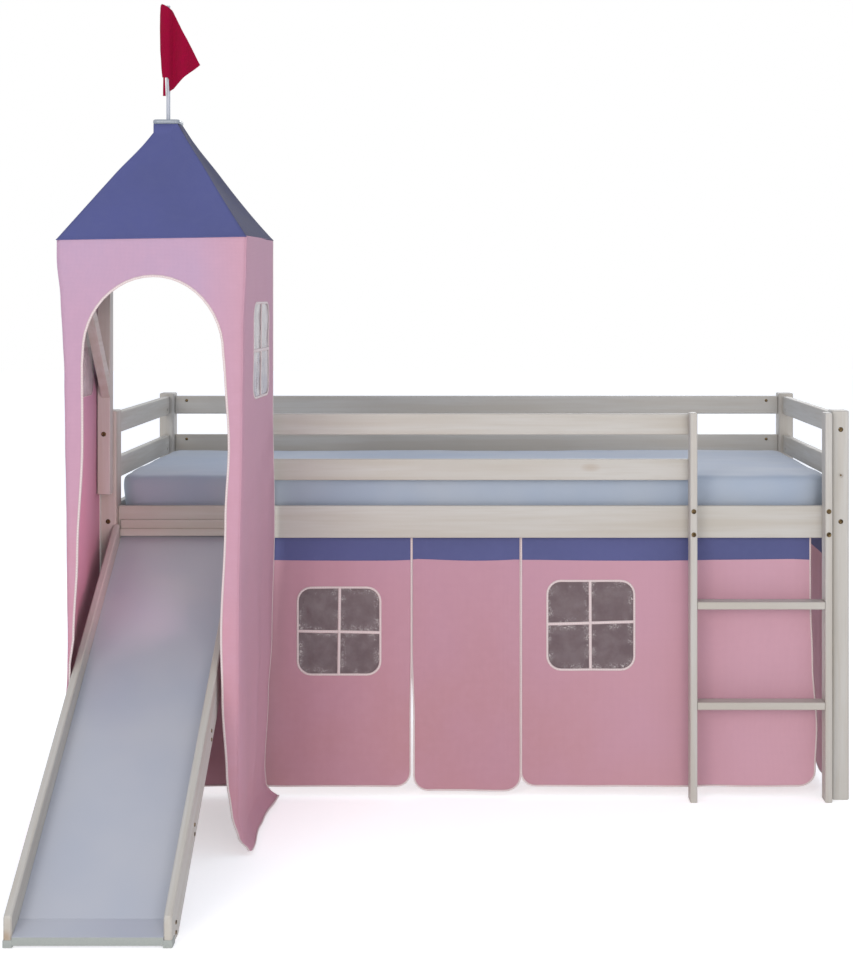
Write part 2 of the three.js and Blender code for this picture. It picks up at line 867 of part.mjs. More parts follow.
function hubForm() {
  const corners = [
    [1, 1],
    [-1, 1],
    [-1, -1],
    [1, -1],
  ];
  const points = corners.flatMap(([sx, sy], i) => {
    const out = new THREE.Vector2(sx * Math.cos(hipAngle), sy * Math.sin(hipAngle));
    const across = new THREE.Vector2(-out.y, out.x);
    const seat = out.clone().multiplyScalar(hubSeat);
    const pair = [-1, 1].map((side) => seat.clone().addScaledVector(across, side * hubHalf));
    return pair.map((p) => p.clamp(hubLimit.clone().negate(), hubLimit));
  });
  const block = extruded(new THREE.Shape(points), tower.hubTall, 0, [X, Y, Z]);
  const mouth = new THREE.Vector3(0, 0, tower.hubTall / 2);
  const socket = drill(mouth, Z.clone().negate(), pole.radius + gap, tower.hubTall / 2, pole.sides);
  return drilled(block, [socket]);
}
add(towerGroup, "tower_hub", paint, hubForm(), new THREE.Vector3(0, 0, collarTop - tower.hubTall / 2));

// A rafter stands on the corner of the frame and butts on the hub, just under the roof's hip
function rafterForm() {
  const underHip = slantCloth * (Math.cos(hipAngle) + Math.sin(hipAngle)) * hipSlope;
  const underFace = (tower.rafterThick / 2) * Math.sin(hipAngle) * faceSlope;
  const drop = underHip + underFace + 2 * tower.ease;
  const topLine = (u) => eave + (hipLong - u) * hipSlope - drop;
  const depth = tower.rafterDeep * Math.hypot(1, hipSlope);
  const seat = barTop + gap;
  const outer = hipLong - (seat - eave + drop) / hipSlope;
  const inner = hubSeat + gap;
  const shape = new THREE.Shape(
    [
      [outer, seat],
      [inner, topLine(inner)],
      [inner, topLine(inner) - depth],
      [outer - depth / hipSlope, seat],
    ].map(([u, z]) => new THREE.Vector2(u, z)),
  );
  return extruded(shape, tower.rafterThick, tower.ease / 2, facingFront);
}
[
  ["front_left", Math.PI + hipAngle],
  ["front_right", -hipAngle],
  ["back_right", hipAngle],
  ["back_left", Math.PI - hipAngle],
].forEach(([corner, turn]) => {
  const rafter = add(towerGroup, `tower_rafter_${corner}`, bareWood, rafterForm());
  rafter.rotation.z = turn;
});

function capForm() {
  const deep = (tower.capWide * tower.depth) / tower.width;
  const outline = roundedRectangle(tower.capWide, deep, 2 * tower.ease);
  const plate = extruded(outline, tower.capThick, tower.ease, [X, Y, Z]);
  const mouth = new THREE.Vector3(0, 0, tower.capThick / 2);
  const hole = drill(mouth, Z.clone().negate(), pole.radius + gap, tower.capThick + overrun, pole.sides);
  return drilled(plate, [hole]);
}
add(towerGroup, "tower_cap", paint, capForm(), new THREE.Vector3(0, 0, capTop - tower.capThick / 2));

// Flagpole and flag: the pole stands in the hub, and the flag's sleeve turns round it
const poleFoot = collarTop - tower.hubTall / 2 + gap;
const poleTop = capTop + pole.rise;
const poleForm = new THREE.CylinderGeometry(pole.radius, pole.radius, poleTop - poleFoot, pole.sides);
poleForm.rotateX(Math.PI / 2);
add(towerGroup, "flagpole", white, poleForm, new THREE.Vector3(0, 0, (poleTop + poleFoot) / 2));

// How far down the sleeve the flag's two edges run, from the sleeve at 0 to the point at 1
const flagTopShares = [[0, 0], [0.5, 0.4], [1, 0.83]];
const flagFootShares = [[0, 1], [0.3, 1.17], [1, 0.86]];
const flagColumns = 8;
const flagRows = 3;
function flagForm() {
  const inner = (pole.radius + gap) / Math.cos(Math.PI / pole.sides);
  const outer = inner + flag.sleeve;
  const half = flag.sleeveTall / 2;
  const ring = [
    [inner, -half],
    [outer, -half],
    [outer, half],
    [inner, half],
    [inner, -half],
  ].map(([r, z]) => new THREE.Vector2(r, z));
  const sleeve = new THREE.LatheGeometry(ring, pole.sides);
  sleeve.rotateX(Math.PI / 2);
  // The cloth starts inside the sleeve's wall and waves as it runs out to its blunt point
  const start = inner + flag.sleeve / 2;
  const at = (u, v) => {
    const drop = (1 - v) * along(flagTopShares, u) + v * along(flagFootShares, u);
    const wave = flag.wave * Math.sin(2 * Math.PI * u) * u;
    return new THREE.Vector3(start + u * (flag.long - start), wave, half - drop * flag.sleeveTall);
  };
  const cloth = sheet(at, Y, flag.cloth, flagColumns, flagRows);
  return surface(solid(sleeve).add(solid(cloth)));
}
const flagMiddle = poleTop + flag.over - flag.sleeveTall / 2;
add(towerGroup, "flag", crimson, flagForm(), new THREE.Vector3(0, 0, flagMiddle));

// Tower walls. Heights run from 0 at the eave to 1 at the hem, insets are shares of the tower's width.
const wallTop = barTop;
const wallTall = wallTop - tower.hem;
const wallHeight = (v) => wallTop - v * wallTall;
const leftCornerShares = [
  [0, 0], [0.03, 0], [0.1, 0.016], [0.23, 0.03], [0.52, 0.04], [0.66, 0.045], [0.82, 0.012], [1, 0],
];
const rightCornerShares = [[0, 0], [0.03, 0], [0.3, 0.006], [0.62, 0.026], [0.94, 0.028], [1, -0.034]];
const rightEdgeShares = [[0, -0.006], [0.5, -0.04], [0.71, -0.02], [0.82, 0.002], [0.95, 0.018], [1, -0.05]];

const leftCorner = (v) => -halfWide + tower.width * along(leftCornerShares, v);
const rightCorner = (v) => halfWide - tower.width * along(rightCornerShares, v);

// The front opening: an arch on two strips, whose inner edges are shares in from the eave's two corners
const leftStripShares = [
  [0.18, 0.129], [0.33, 0.131], [0.52, 0.103], [0.65, 0.082], [0.7, 0.059], [1, 0.059],
];
const rightStripShares = [
  [0.18, 0.105], [0.34, 0.0785], [0.46, 0.097], [0.65, 0.12], [0.75, 0.112], [0.88, 0.088], [0.945, 0.062],
  [0.975, 0.034], [0.996, 0.004], [1, -0.02],
];
function openingShape() {
  const shape = new THREE.Shape();
  const steps = 18;
  const spring = eave - arch.topDrop - arch.rise;
  const springShare = (wallTop - spring) / wallTall;
  const place = (i) => springShare + (1 - springShare) * (1 - i / steps);
  const left = (v) => -halfWide + tower.width * along(leftStripShares, v);
  const right = (v) => halfWide - tower.width * along(rightStripShares, v);
  shape.moveTo(left(1), -overrun);
  for (let i = 0; i < steps; i++) shape.lineTo(left(place(i)), wallHeight(place(i)));
  const turns = 16;
  for (let i = 0; i <= turns; i++) {
    const angle = Math.PI * (1 - i / turns);
    const x = arch.centre + arch.halfWidth * Math.cos(angle);
    shape.lineTo(x, spring + arch.rise * Math.sin(angle));
  }
  for (let i = steps - 1; i >= 0; i--) shape.lineTo(right(place(i)), wallHeight(place(i)));
  shape.lineTo(right(1), -overrun);
  return shape;
}

const rowShares = [0, 0.03, 0.1, 0.18, 0.27, 0.36, 0.46, 0.56, 0.65, 0.74, 0.82, 0.89, 0.95, 1];
const wallRows = rowShares.length - 1;
const rowAt = (place) => rowShares[Math.round(place * wallRows)];
const frontColumns = 10;
function frontAt(u, place) {
  const v = rowAt(place);
  const x = leftCorner(v) + (rightCorner(v) - leftCorner(v)) * u;
  const billow = tower.cloth * v * Math.sin(2 * Math.PI * u) ** 2;
  return new THREE.Vector3(x, -halfDeep + tower.cloth / 2 - billow, wallHeight(v));
}
const frontForm = sheet(frontAt, Y, tower.cloth, frontColumns, wallRows);
const frontMiddle = new THREE.Vector3(0, -halfDeep, 0);
const frontCloth = pierced(frontForm, [openingShape()], facingFront, frontMiddle);
add(towerGroup, "tower_front_fabric", rose, frontCloth);

const sideFront = -halfDeep + tower.cloth + gap;
const sideBack = halfDeep - gap;
const wallFolds = 3;
const foldShare = 0.016; // a fold's depth at the hem, as a share of the tower's width
const hangShare = 0.45; // how far down the folds start
const wallColumns = 12;
const paneSteps = 6;

// The middle of a side wall: its front edge follows the corner, its back edge hangs by the bed's post
function sideAt(sx, u, v) {
  const corner = sx < 0 ? leftCorner(v) : rightCorner(v);
  const back = sx < 0 ? -halfWide : halfWide - tower.width * along(rightEdgeShares, v);
  const hang = THREE.MathUtils.smoothstep(v, hangShare, 1);
  const fold = sx * tower.width * foldShare * hang * Math.sin(wallFolds * Math.PI * u) ** 2;
  const reach = 1 - u;
  const blend = sx < 0 ? reach * reach : reach;
  const x = back + (corner - back) * blend - (sx * tower.cloth) / 2 + (sx < 0 ? 0 : fold);
  return new THREE.Vector3(x, sideFront + (sideBack - sideFront) * u, wallHeight(v));
}

for (const [side, sx] of [["left", -1], ["right", 1]]) {
  const wall = sheet((u, place) => sideAt(sx, u, rowAt(place)), X, tower.cloth, wallColumns, wallRows);
  const centre = new THREE.Vector3(sx * halfWide, halfDeep - wallWindow.back, eave - wallWindow.drop);
  const lights = windowLights(wallWindow.wide, wallWindow.tall);
  add(towerGroup, `tower_wall_${side}`, rose, pierced(wall, lights, toBack, centre));
  // The clear pane lies inside the wall and laps its window by the seam
  const spanY = wallWindow.wide + 2 * window.seam;
  const spanZ = wallWindow.tall + 2 * window.seam;
  const paneAt = (u, v) => {
    const y = centre.y - spanY / 2 + spanY * u;
    const z = centre.z + spanZ / 2 - spanZ * v;
    const point = sideAt(sx, (y - sideFront) / (sideBack - sideFront), (wallTop - z) / wallTall);
    point.x -= sx * (tower.cloth / 2 + 2 * gap + window.pane / 2);
    return point;
  };
  add(towerGroup, `tower_window_${side}`, clear, sheet(paneAt, X, window.pane, paneSteps, paneSteps));
}

// Play curtains. Each hangs from a tape on the inside of its rail and swings about a bead at its top edge.

const curtainGroup = new THREE.Group();
curtainGroup.position.set(0, railBack + gap + curtain.tapeThick / 2, tapeBottom - gap - curtain.cloth / 2);
model.add(curtainGroup);
const dropTo = (bottom) => curtainGroup.position.z - bottom;

board(
  model,
  "curtain_tape_front",
  violet,
  [-innerEnd + gap, innerEnd - curtain.tapeInset],
  [railBack + gap, railBack + gap + curtain.tapeThick],
  [tapeBottom, tapeTop],
  curtain.tapeThick / 4,
);

const foldColumns = 4; // in one wave of a curtain
const curtainRows = 9;
function curtainForm(from, to, bottom, light) {
  const long = to - from;
  const tall = dropTo(bottom);
  const waves = Math.max(1, Math.round(long / curtain.waveLong));
  const columns = foldColumns * waves;
  // The cloth lies flat round a window, one row and column further than its seam
  const flatAt = (x, z) => {
    if (!light) return 1;
    const offX = Math.abs(x - from - long * light.alongShare) - light.wide / 2 - window.seam - long / columns;
    const offZ = Math.abs(z - light.height) - light.tall / 2 - window.seam - tall / curtainRows;
    return THREE.MathUtils.smoothstep(Math.max(offX, offZ), 0, curtain.corner);
  };
  const at = (u, v) => {
    const x = from + long * u;
    const z = -tall * v;
    const fold = Math.sin(2 * Math.PI * waves * u) * Math.sin((Math.PI / 2) * Math.min(1, 2 * v));
    return new THREE.Vector3(x, curtain.wave * fold * flatAt(x, z + curtainGroup.position.z), z);
  };
  const bead = Z.clone().multiplyScalar(curtain.cloth / 2);
  const cloth = sheet(at, Y, curtain.cloth, columns, curtainRows, bead);
  // The bottom corners are rounded, and the hem is straight
  const outline = new THREE.Shape();
  const corner = curtain.corner;
  outline.moveTo(from - overrun, overrun);
  outline.lineTo(from - overrun, -tall + corner);
  outline.lineTo(from, -tall + corner);
  outline.quadraticCurveTo(from, -tall, from + corner, -tall);
  outline.lineTo(to - corner, -tall);
  outline.quadraticCurveTo(to, -tall, to, -tall + corner);
  outline.lineTo(to + overrun, -tall + corner);
  outline.lineTo(to + overrun, overrun);
  const trimDeep = 2 * (curtain.wave + curtain.cloth + overrun);
  const trim = extruded(outline, trimDeep, 0, facingFront, foldColumns);
  const trimmed = surface(solid(cloth).intersect(solid(trim)));
  if (!light) return trimmed;
  const centre = new THREE.Vector3(from + long * light.alongShare, 0, light.height - curtainGroup.position.z);
  return pierced(trimmed, windowLights(light.wide, light.tall), facingFront, centre);
}

const curtainRun = 2 * innerEnd - curtain.leftClear - curtain.rightClear - 2 * curtain.apart;
let from = -innerEnd + curtain.leftClear;
for (const { name, wideShare, bottom, light } of curtainPanels) {
  const long = curtainRun * wideShare;
  add(curtainGroup, `curtain_${name}`, rose, curtainForm(from, from + long, bottom, light));
  if (light) {
    const span = 2 * window.seam;
    const pane = new THREE.BoxGeometry(light.wide + span, window.pane, light.tall + span);
    const back = curtain.cloth / 2 + gap + window.pane / 2;
    const height = light.height - curtainGroup.position.z;
    const place = new THREE.Vector3(from + long * light.alongShare, back, height);
    add(curtainGroup, `curtain_window_${name}`, clear, pane, place);
  }
  from += long + curtain.apart;
}

// The end curtain hangs in the same way inside the right end rail
const endX = endRailMiddle - endRailHalf - gap - curtain.tapeThick / 2;
const endFrom = post.deep + curtain.tapeInset;
const endTo = bedWidth - endFrom;
board(
  model,
  "curtain_tape_end",
  violet,
  [endX - curtain.tapeThick / 2, endX + curtain.tapeThick / 2],
  [endFrom, endTo],
  [tapeBottom, tapeTop],
  curtain.tapeThick / 4,
);
const endCurtain = add(
  model,
  "curtain_end",
  rose,
  curtainForm(-(endTo - endFrom) / 2, (endTo - endFrom) / 2, curtain.bottom, null),
  new THREE.Vector3(endX, bedWidth / 2, curtainGroup.position.z),
);
endCurtain.rotation.z = Math.PI / 2;

export default bunk;
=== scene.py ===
"""Looks of a child's mid-sleeper bed with a slide, a ladder, play curtains and a cloth tower.
Metres, +Z up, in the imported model's own frame: X runs along the bed, Y from the slide's foot to its back."""

import math

import bmesh
import bpy
import numpy as np
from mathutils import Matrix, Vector, noise
from mathutils.geometry import delaunay_2d_cdt


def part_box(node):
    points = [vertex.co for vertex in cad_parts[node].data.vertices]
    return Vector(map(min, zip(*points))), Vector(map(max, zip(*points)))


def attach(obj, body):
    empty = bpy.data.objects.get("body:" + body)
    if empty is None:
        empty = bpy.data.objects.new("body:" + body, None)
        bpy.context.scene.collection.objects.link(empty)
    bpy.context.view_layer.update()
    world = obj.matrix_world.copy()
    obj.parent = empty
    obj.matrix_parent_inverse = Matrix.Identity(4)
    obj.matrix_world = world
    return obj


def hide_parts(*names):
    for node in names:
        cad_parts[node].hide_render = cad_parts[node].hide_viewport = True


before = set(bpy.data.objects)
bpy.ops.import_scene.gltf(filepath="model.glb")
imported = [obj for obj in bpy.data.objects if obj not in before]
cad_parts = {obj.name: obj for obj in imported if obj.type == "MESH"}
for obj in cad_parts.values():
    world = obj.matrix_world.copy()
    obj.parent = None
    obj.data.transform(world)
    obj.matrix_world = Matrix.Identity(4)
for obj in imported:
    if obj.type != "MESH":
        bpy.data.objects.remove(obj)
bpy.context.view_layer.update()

MM = 0.001

# The photograph's view: a level camera in front of the bed. The picture's size, the point that the level
# line of sight goes through, and the focal length are in its own pixels.
PICTURE_WIDE = 853
PICTURE_TALL = 955
LEVEL_X = 487
LEVEL_Y = 298
FOCAL_PIXELS = 1832
CAMERA_PLACE = (0.035, -5.01, 1.395)
SENSOR = 36  # millimetres


def show(name, data):
    """A new object in the scene"""
    made = bpy.data.objects.new(name, data)
    bpy.context.scene.collection.objects.link(made)
    return made


def make_camera():
    data = bpy.data.cameras.new("photograph")
    long_side = max(PICTURE_WIDE, PICTURE_TALL)
    data.sensor_width = SENSOR
    data.lens = FOCAL_PIXELS * SENSOR / long_side
    data.shift_x = (PICTURE_WIDE / 2 - LEVEL_X) / long_side
    data.shift_y = (LEVEL_Y - PICTURE_TALL / 2) / long_side
    camera = show("camera", data)
    camera.location = CAMERA_PLACE
    camera.rotation_euler = (math.pi / 2, 0, 0)
    bpy.context.scene.camera = camera


# Nodes and colours


def linear(hex_colour):
    """The linear colour of an sRGB hex value, by the standard's own curve"""
    shares = [int(hex_colour[i : i + 2], 16) / 255 for i in (1, 3, 5)]
    return [s / 12.92 if s <= 0.04045 else ((s + 0.055) / 1.055) ** 2.4 for s in shares] + [1]


def put(kind, inputs=None, tree=None, **settings):
    """Adds a node, sets it, and gives its inputs their links, values or hex colours. It goes into its first
    link's tree, or into the given one."""
    inputs = inputs or {}
    links = {socket: value for socket, value in inputs.items() if isinstance(value, bpy.types.NodeSocket)}
    tree = tree or next(iter(links.values())).id_data
    node = tree.nodes.new(kind)
    for name, value in settings.items():
        setattr(node, name, value)
    for socket, value in inputs.items():
        if socket in links:
            tree.links.new(value, node.inputs[socket])
        else:
            node.inputs[socket].default_value = linear(value) if isinstance(value, str) else value
    return node


def new_finish(name, **sockets):
    """A material with its Principled node, and the values that are the same all over"""
    material = bpy.data.materials.new(name)
    material.use_nodes = True
    shader = material.node_tree.nodes["Principled BSDF"]
    for socket, value in sockets.items():
        shader.inputs[socket.replace("_", " ")].default_value = value
    return material, shader


def feed(shader, **sockets):
    """Links values to a shader's sockets"""
    for socket, value in sockets.items():
        shader.id_data.links.new(value, shader.inputs[socket.replace("_", " ")])


def own_place(shader):
    """Where a point is on its own piece"""
    return put("ShaderNodeTexCoord", tree=shader.id_data).outputs["Object"]


def flat_place(shader):
    """Where a point is on the flat cloth, along and across"""
    return put("ShaderNodeUVMap", tree=shader.id_data, uv_map="flat").outputs[0]


def share_of(vector, axis):
    return put("ShaderNodeSeparateXYZ", {0: vector}).outputs[axis]


def maths(operation, *values):
    return put("ShaderNodeMath", dict(enumerate(values)), operation=operation).outputs[0]


def clouds(place, size, detail, **more):
    """Noise with patches of about a size"""
    inputs = {"Vector": place, "Scale": 1 / size, "Detail": detail, **more}
    return put("ShaderNodeTexNoise", inputs).outputs["Fac"]


WAVE_BANDS = 20  # a wave texture has this many radians to a unit of its scale


def threads(place, wide, direction):
    """Even ridges of a width, side by side in one direction"""
    inputs = {"Vector": place, "Scale": 2 * math.pi / WAVE_BANDS / wide}
    return put("ShaderNodeTexWave", inputs, bands_direction=direction).outputs["Fac"]


def blended(share, low, high):
    """The colour between two, at a share"""
    return put("ShaderNodeMix", {0: share, 6: low, 7: high}, data_type="RGBA").outputs[2]


def spread(value, low, high, to_low=0.0, to_high=1.0):
    """A value stretched from one range onto another, and kept inside it"""
    inputs = {"Value": value, "From Min": low, "From Max": high, "To Min": to_low, "To Max": to_high}
    return put("ShaderNodeMapRange", inputs).outputs[0]


def relief(shader, height, strength, distance):
    bump = put("ShaderNodeBump", {"Height": height, "Strength": strength, "Distance": distance})
    feed(shader, Normal=bump.outputs[0])


# Finishes. A range goes from the noise's low and high values to the two shares that follow them.

GRAIN_LENGTH = 22  # how many times longer than wide the grain's streaks are
GRAIN_WIDTH = 7 * MM  # real grain lines are 2 to 3 mm apart, drawn coarser so that they show
GRAIN_RANGE = (0.46, 0.72, 0.0, 0.45)
STREAK_WIDTH = 34 * MM
STREAK_RANGE = (0.38, 0.66, 0.0, 0.85)
KNOT_SPACING = 260 * MM
KNOT_RADIUS = 8 * MM
KNOT_LENGTH = 1.4
KNOT_EDGES = (2.4, 0.6)  # radii from which and to which the wood darkens
GRAIN_RELIEF = 0.35


def pine(name, stretch, tilt, clear, dense, knot, roughness, depth):
    """Planed pine. Grain and knots run with the board, and the finish is denser between them."""
    material, shader = new_finish(name)
    place = own_place(shader)

    def lying(scale):
        inputs = {"Vector": place, "Rotation": (tilt, 0, 0), "Scale": scale}
        return put("ShaderNodeMapping", inputs, vector_type="TEXTURE").outputs[0]

    along = lying(stretch)
    fine = clouds(along, GRAIN_WIDTH, 3.0)
    broad = clouds(along, STREAK_WIDTH, 2.0)
    knots = lying([1 + (s - 1) / GRAIN_LENGTH * KNOT_LENGTH for s in stretch])
    spot = put("ShaderNodeTexVoronoi", {"Vector": knots, "Scale": 1 / KNOT_SPACING})
    edges = [KNOT_RADIUS / KNOT_SPACING * radii for radii in KNOT_EDGES]
    wood = blended(spread(broad, *STREAK_RANGE), dense, clear)
    wood = blended(spread(fine, *GRAIN_RANGE), wood, clear)
    wood = blended(spread(spot.outputs["Distance"], *edges), wood, knot)
    feed(shader, Base_Color=wood, Roughness=spread(fine, 0.3, 0.7, *roughness))
    relief(shader, fine, GRAIN_RELIEF, depth)
    return material


ALONG_X = (GRAIN_LENGTH, 1, 1)
ALONG_Y = (1, GRAIN_LENGTH, 1)
ALONG_Z = (1, 1, GRAIN_LENGTH)


def glazed_pine(name, stretch, tilt=0.0):
    """White glaze brushed on planed pine: satin, and the grain shows through as faint warm streaks"""
    return pine(name, stretch, tilt, "#B5AEA2", "#C0BDB6", "#A0886E", (0.4, 0.52), 0.25 * MM)


def planed_pine(name, stretch, tilt=0.0):
    """Planed, unfinished pine: warm, matt, with clear grain"""
    return pine(name, stretch, tilt, "#C79F6B", "#DFC79D", "#8A5E38", (0.6, 0.75), 0.4 * MM)


CLOUD = 240 * MM
ORANGE_PEEL = 6 * MM


def sprayed_lacquer(name, cool, warm):
    """Lacquer sprayed on smooth board: even, slightly cloudy, and glossy enough to slide on"""
    material, shader = new_finish(name, Coat_Weight=0.15, Coat_Roughness=0.2)
    place = own_place(shader)
    cloud = clouds(place, CLOUD, 2.0)
    colour = blended(spread(cloud, 0.15, 0.85), cool, warm)
    feed(shader, Base_Color=colour, Roughness=spread(cloud, 0.1, 0.9, 0.28, 0.36))
    relief(shader, clouds(place, ORANGE_PEEL, 1.0), 0.05, 0.1 * MM)
    return material


THREAD = 3.2 * MM  # real threads are about 0.5 mm apart, drawn coarser so that they show
# Painted shade in the gaps between the threads, laid on where the weave is low
THREAD_GAP_SHADE = "#2A1A22"
GAP_SHADE_RANGE = (0.0, 1.1, 0.12, 0.0)
PATCH = 210 * MM
PATCH_RANGE = (0.35, 0.75, 0.0, 0.45)
SLUB = 26 * MM
RUBBED_RANGE = (0.4, 0.75, 0.0, 0.2)
TONE_HEIGHTS = (0.1, 1.45)  # heights between which the tone turns from low to high; the tower's lighter low tone is painted light that lifts the shade near the floor
# How much of painted_light_along's tone, painted light, is laid on where it is whole
PAINTED_LIGHT_SHARE = 0.8
# How far a face turns to the right before right_face_shade, painted shade, covers it whole
FACING_ALONG = (0.35, 0.5)


def woven_cotton(name, low, high, patchy, worn, painted_light_along=None, right_face_shade=None):
    """Plain-woven cotton: threads cross in a fine square weave, with painted shade in the gaps between them.
    The tone turns from low to high with height and drifts in patches, and the slubs are rubbed paler.
    painted_light_along is where along the bed painted light starts, where it is whole, and the tone it lays
    on. right_face_shade is painted shade on the faces that look to the right."""
    sheen = {"Sheen_Weight": 0.05, "Sheen_Roughness": 0.5}
    material, shader = new_finish(name, Specular_IOR_Level=0.12, **sheen)
    flat, place = flat_place(shader), own_place(shader)
    weave = maths("ADD", threads(flat, THREAD, "X"), threads(flat, THREAD, "Y"))
    slub = clouds(place, SLUB, 4.0)
    patch = clouds(place, PATCH, 1.0)
    # the tone by height: the tower's lighter low tone is painted light that lifts the shade near the floor
    tone = blended(spread(share_of(place, 2), *TONE_HEIGHTS), low, high)
    tone = blended(spread(patch, *PATCH_RANGE), tone, patchy)
    # painted light: a lighter tone laid on along the bed
    if painted_light_along:
        start, stop, lit_tone = painted_light_along
        tone = blended(spread(share_of(place, 0), start, stop, 0.0, PAINTED_LIGHT_SHARE), tone, lit_tone)
    # painted shade on the faces that look to the right
    if right_face_shade:
        normal = put("ShaderNodeNewGeometry", tree=shader.id_data).outputs["True Normal"]
        tone = blended(spread(share_of(normal, 0), *FACING_ALONG), tone, right_face_shade)
    tone = blended(spread(slub, *RUBBED_RANGE), tone, worn)
    # painted shade in the gaps between the threads
    tone = blended(spread(weave, *GAP_SHADE_RANGE), tone, THREAD_GAP_SHADE)
    feed(shader, Base_Color=tone, Roughness=spread(slub, 0.3, 0.7, 0.8, 0.95))
    relief(shader, weave, 0.35, 0.35 * MM)
    return material


STITCH = 7 * MM  # real stitches are 3 mm long, drawn longer so that they show
STITCH_END = (0.62 * STITCH, 0.66 * STITCH)
ROW_EDGE = (0.16, 0.08)  # shares of the tape's width, off its middle


def bound_cotton(name, tape, thread):
    """Cotton bias tape folded over an edge, with one row of lockstitch along its middle"""
    material, shader = new_finish(name, Sheen_Weight=0.2, Roughness=0.85, Specular_IOR_Level=0.25)
    flat = flat_place(shader)
    step = maths("WRAP", share_of(flat, 0), STITCH, 0.0)
    off_middle = maths("ABSOLUTE", maths("SUBTRACT", share_of(flat, 1), 0.5))
    sewn = maths("SUBTRACT", 1.0, spread(step, *STITCH_END))
    stitch = maths("MULTIPLY", sewn, spread(off_middle, *ROW_EDGE))
    feed(shader, Base_Color=blended(stitch, tape, thread))
    relief(shader, stitch, 0.5, 0.4 * MM)
    return material


CRINKLE = 34 * MM
# The fine noise, lines, reach from the seams and patches where thin pale lines are painted glints
CREASE = 9 * MM
GLINT_LINE = (0.022, 0.006)
GLINT_REACH = (20 * MM, 6 * MM)
GLINT_PATCHES = (0.46, 0.56)


def clear_film(name, alpha, plain, hazy, crease):
    """Clear flexible vinyl film, calendered thin: a little grey, with crinkles that catch the light, and
    beside its seams thin pale lines along the creases are painted glints. The flat map's first place is the
    way to the seam."""
    material, shader = new_finish(name, Roughness=0.12, IOR=1.53, Alpha=alpha)
    place = own_place(shader)
    crinkle = clouds(place, CRINKLE, 5.0)
    fine = clouds(place, CREASE, 2.0, Distortion=1.5)
    ridge = maths("ABSOLUTE", maths("SUBTRACT", fine, 0.5))
    near_seam = spread(share_of(flat_place(shader), 0), *GLINT_REACH)
    # painted glints: thin pale lines beside the seams, in the crease colour
    glint_lines = maths("MULTIPLY", spread(ridge, *GLINT_LINE), near_seam)
    glint_lines = maths("MULTIPLY", glint_lines, spread(crinkle, *GLINT_PATCHES))
    grey = blended(spread(crinkle, 0.35, 0.65), plain, hazy)
    feed(shader, Base_Color=blended(glint_lines, grey, crease))
    relief(shader, crinkle, 0.6, 2 * MM)
    return material


TARNISH = 5 * MM


def plated_steel(name, bright, dull):
    """Zinc-plated steel with a yellow passivation: metal, a little dull where it was handled"""
    material, shader = new_finish(name, Metallic=1.0)
    cloud = clouds(own_place(shader), TARNISH, 2.0)
    colour = blended(spread(cloud, 0.35, 0.65), bright, dull)
    feed(shader, Base_Color=colour, Roughness=spread(cloud, 0.3, 0.7, 0.3, 0.5))
    return material


SPARK_GRAIN = 1.5 * MM


def moulded_plastic(name, dark, light):
    """Grey polypropylene, moulded in a spark-eroded tool: satin, with a fine even grain"""
    material, shader = new_finish(name, Roughness=0.5)
    grit = clouds(own_place(shader), SPARK_GRAIN, 2.0)
    feed(shader, Base_Color=blended(spread(grit, 0.3, 0.7), dark, light))
    relief(shader, grit, 0.3, 0.15 * MM)
    return material


JERSEY_RIB = 3 * MM  # real knitted ribs are under 1 mm apart, drawn coarser so that they show


def cotton_jersey(name, light, shade):
    """Knitted cotton jersey pulled over foam: fine ribs one way, soft and matt"""
    material, shader = new_finish(name, Sheen_Weight=0.35, Roughness=0.9, Specular_IOR_Level=0.2)
    place = own_place(shader)
    patch = clouds(place, PATCH, 2.0)
    feed(shader, Base_Color=blended(spread(patch, 0.35, 0.65), light, shade))
    relief(shader, threads(place, JERSEY_RIB, "Y"), 0.2, 0.25 * MM)
    return material


# Flat cloth, cut and sewn. A flat part is its points, faces and a place along and across it for each point.


def stepped(points, pitch, closed=True):
    """A line's points with more between them, so that no step is longer than pitch"""
    ends = zip(points, [*points[1:], points[0]] if closed else points[1:])
    made = []
    for a, b in ends:
        steps = max(1, math.ceil((Vector(b) - Vector(a)).length / pitch))
        made += [tuple(Vector(a).lerp(Vector(b), i / steps)) for i in range(steps)]
    return made if closed else [*made, tuple(points[-1])]


def enclosed(points, loop):
    """Which of the points lie inside a closed loop"""
    x, y = points[:, 0], points[:, 1]
    found = np.zeros(len(points), bool)
    for (ax, ay), (bx, by) in zip(loop, [*loop[1:], loop[0]]):
        if ay != by:
            found ^= ((ay > y) != (by > y)) & (x < (bx - ax) * (y - ay) / (by - ay) + ax)
    return found


RIM_CLEAR = 0.55  # how near to the rim an inner point may be, as a share of the pitch
SAME_POINT = 1e-7
SLIVER = 0.05 * MM**2  # triangles this thin only come from rounding along a straight edge


PITCH = 12 * MM  # of the points along cloth and tapes


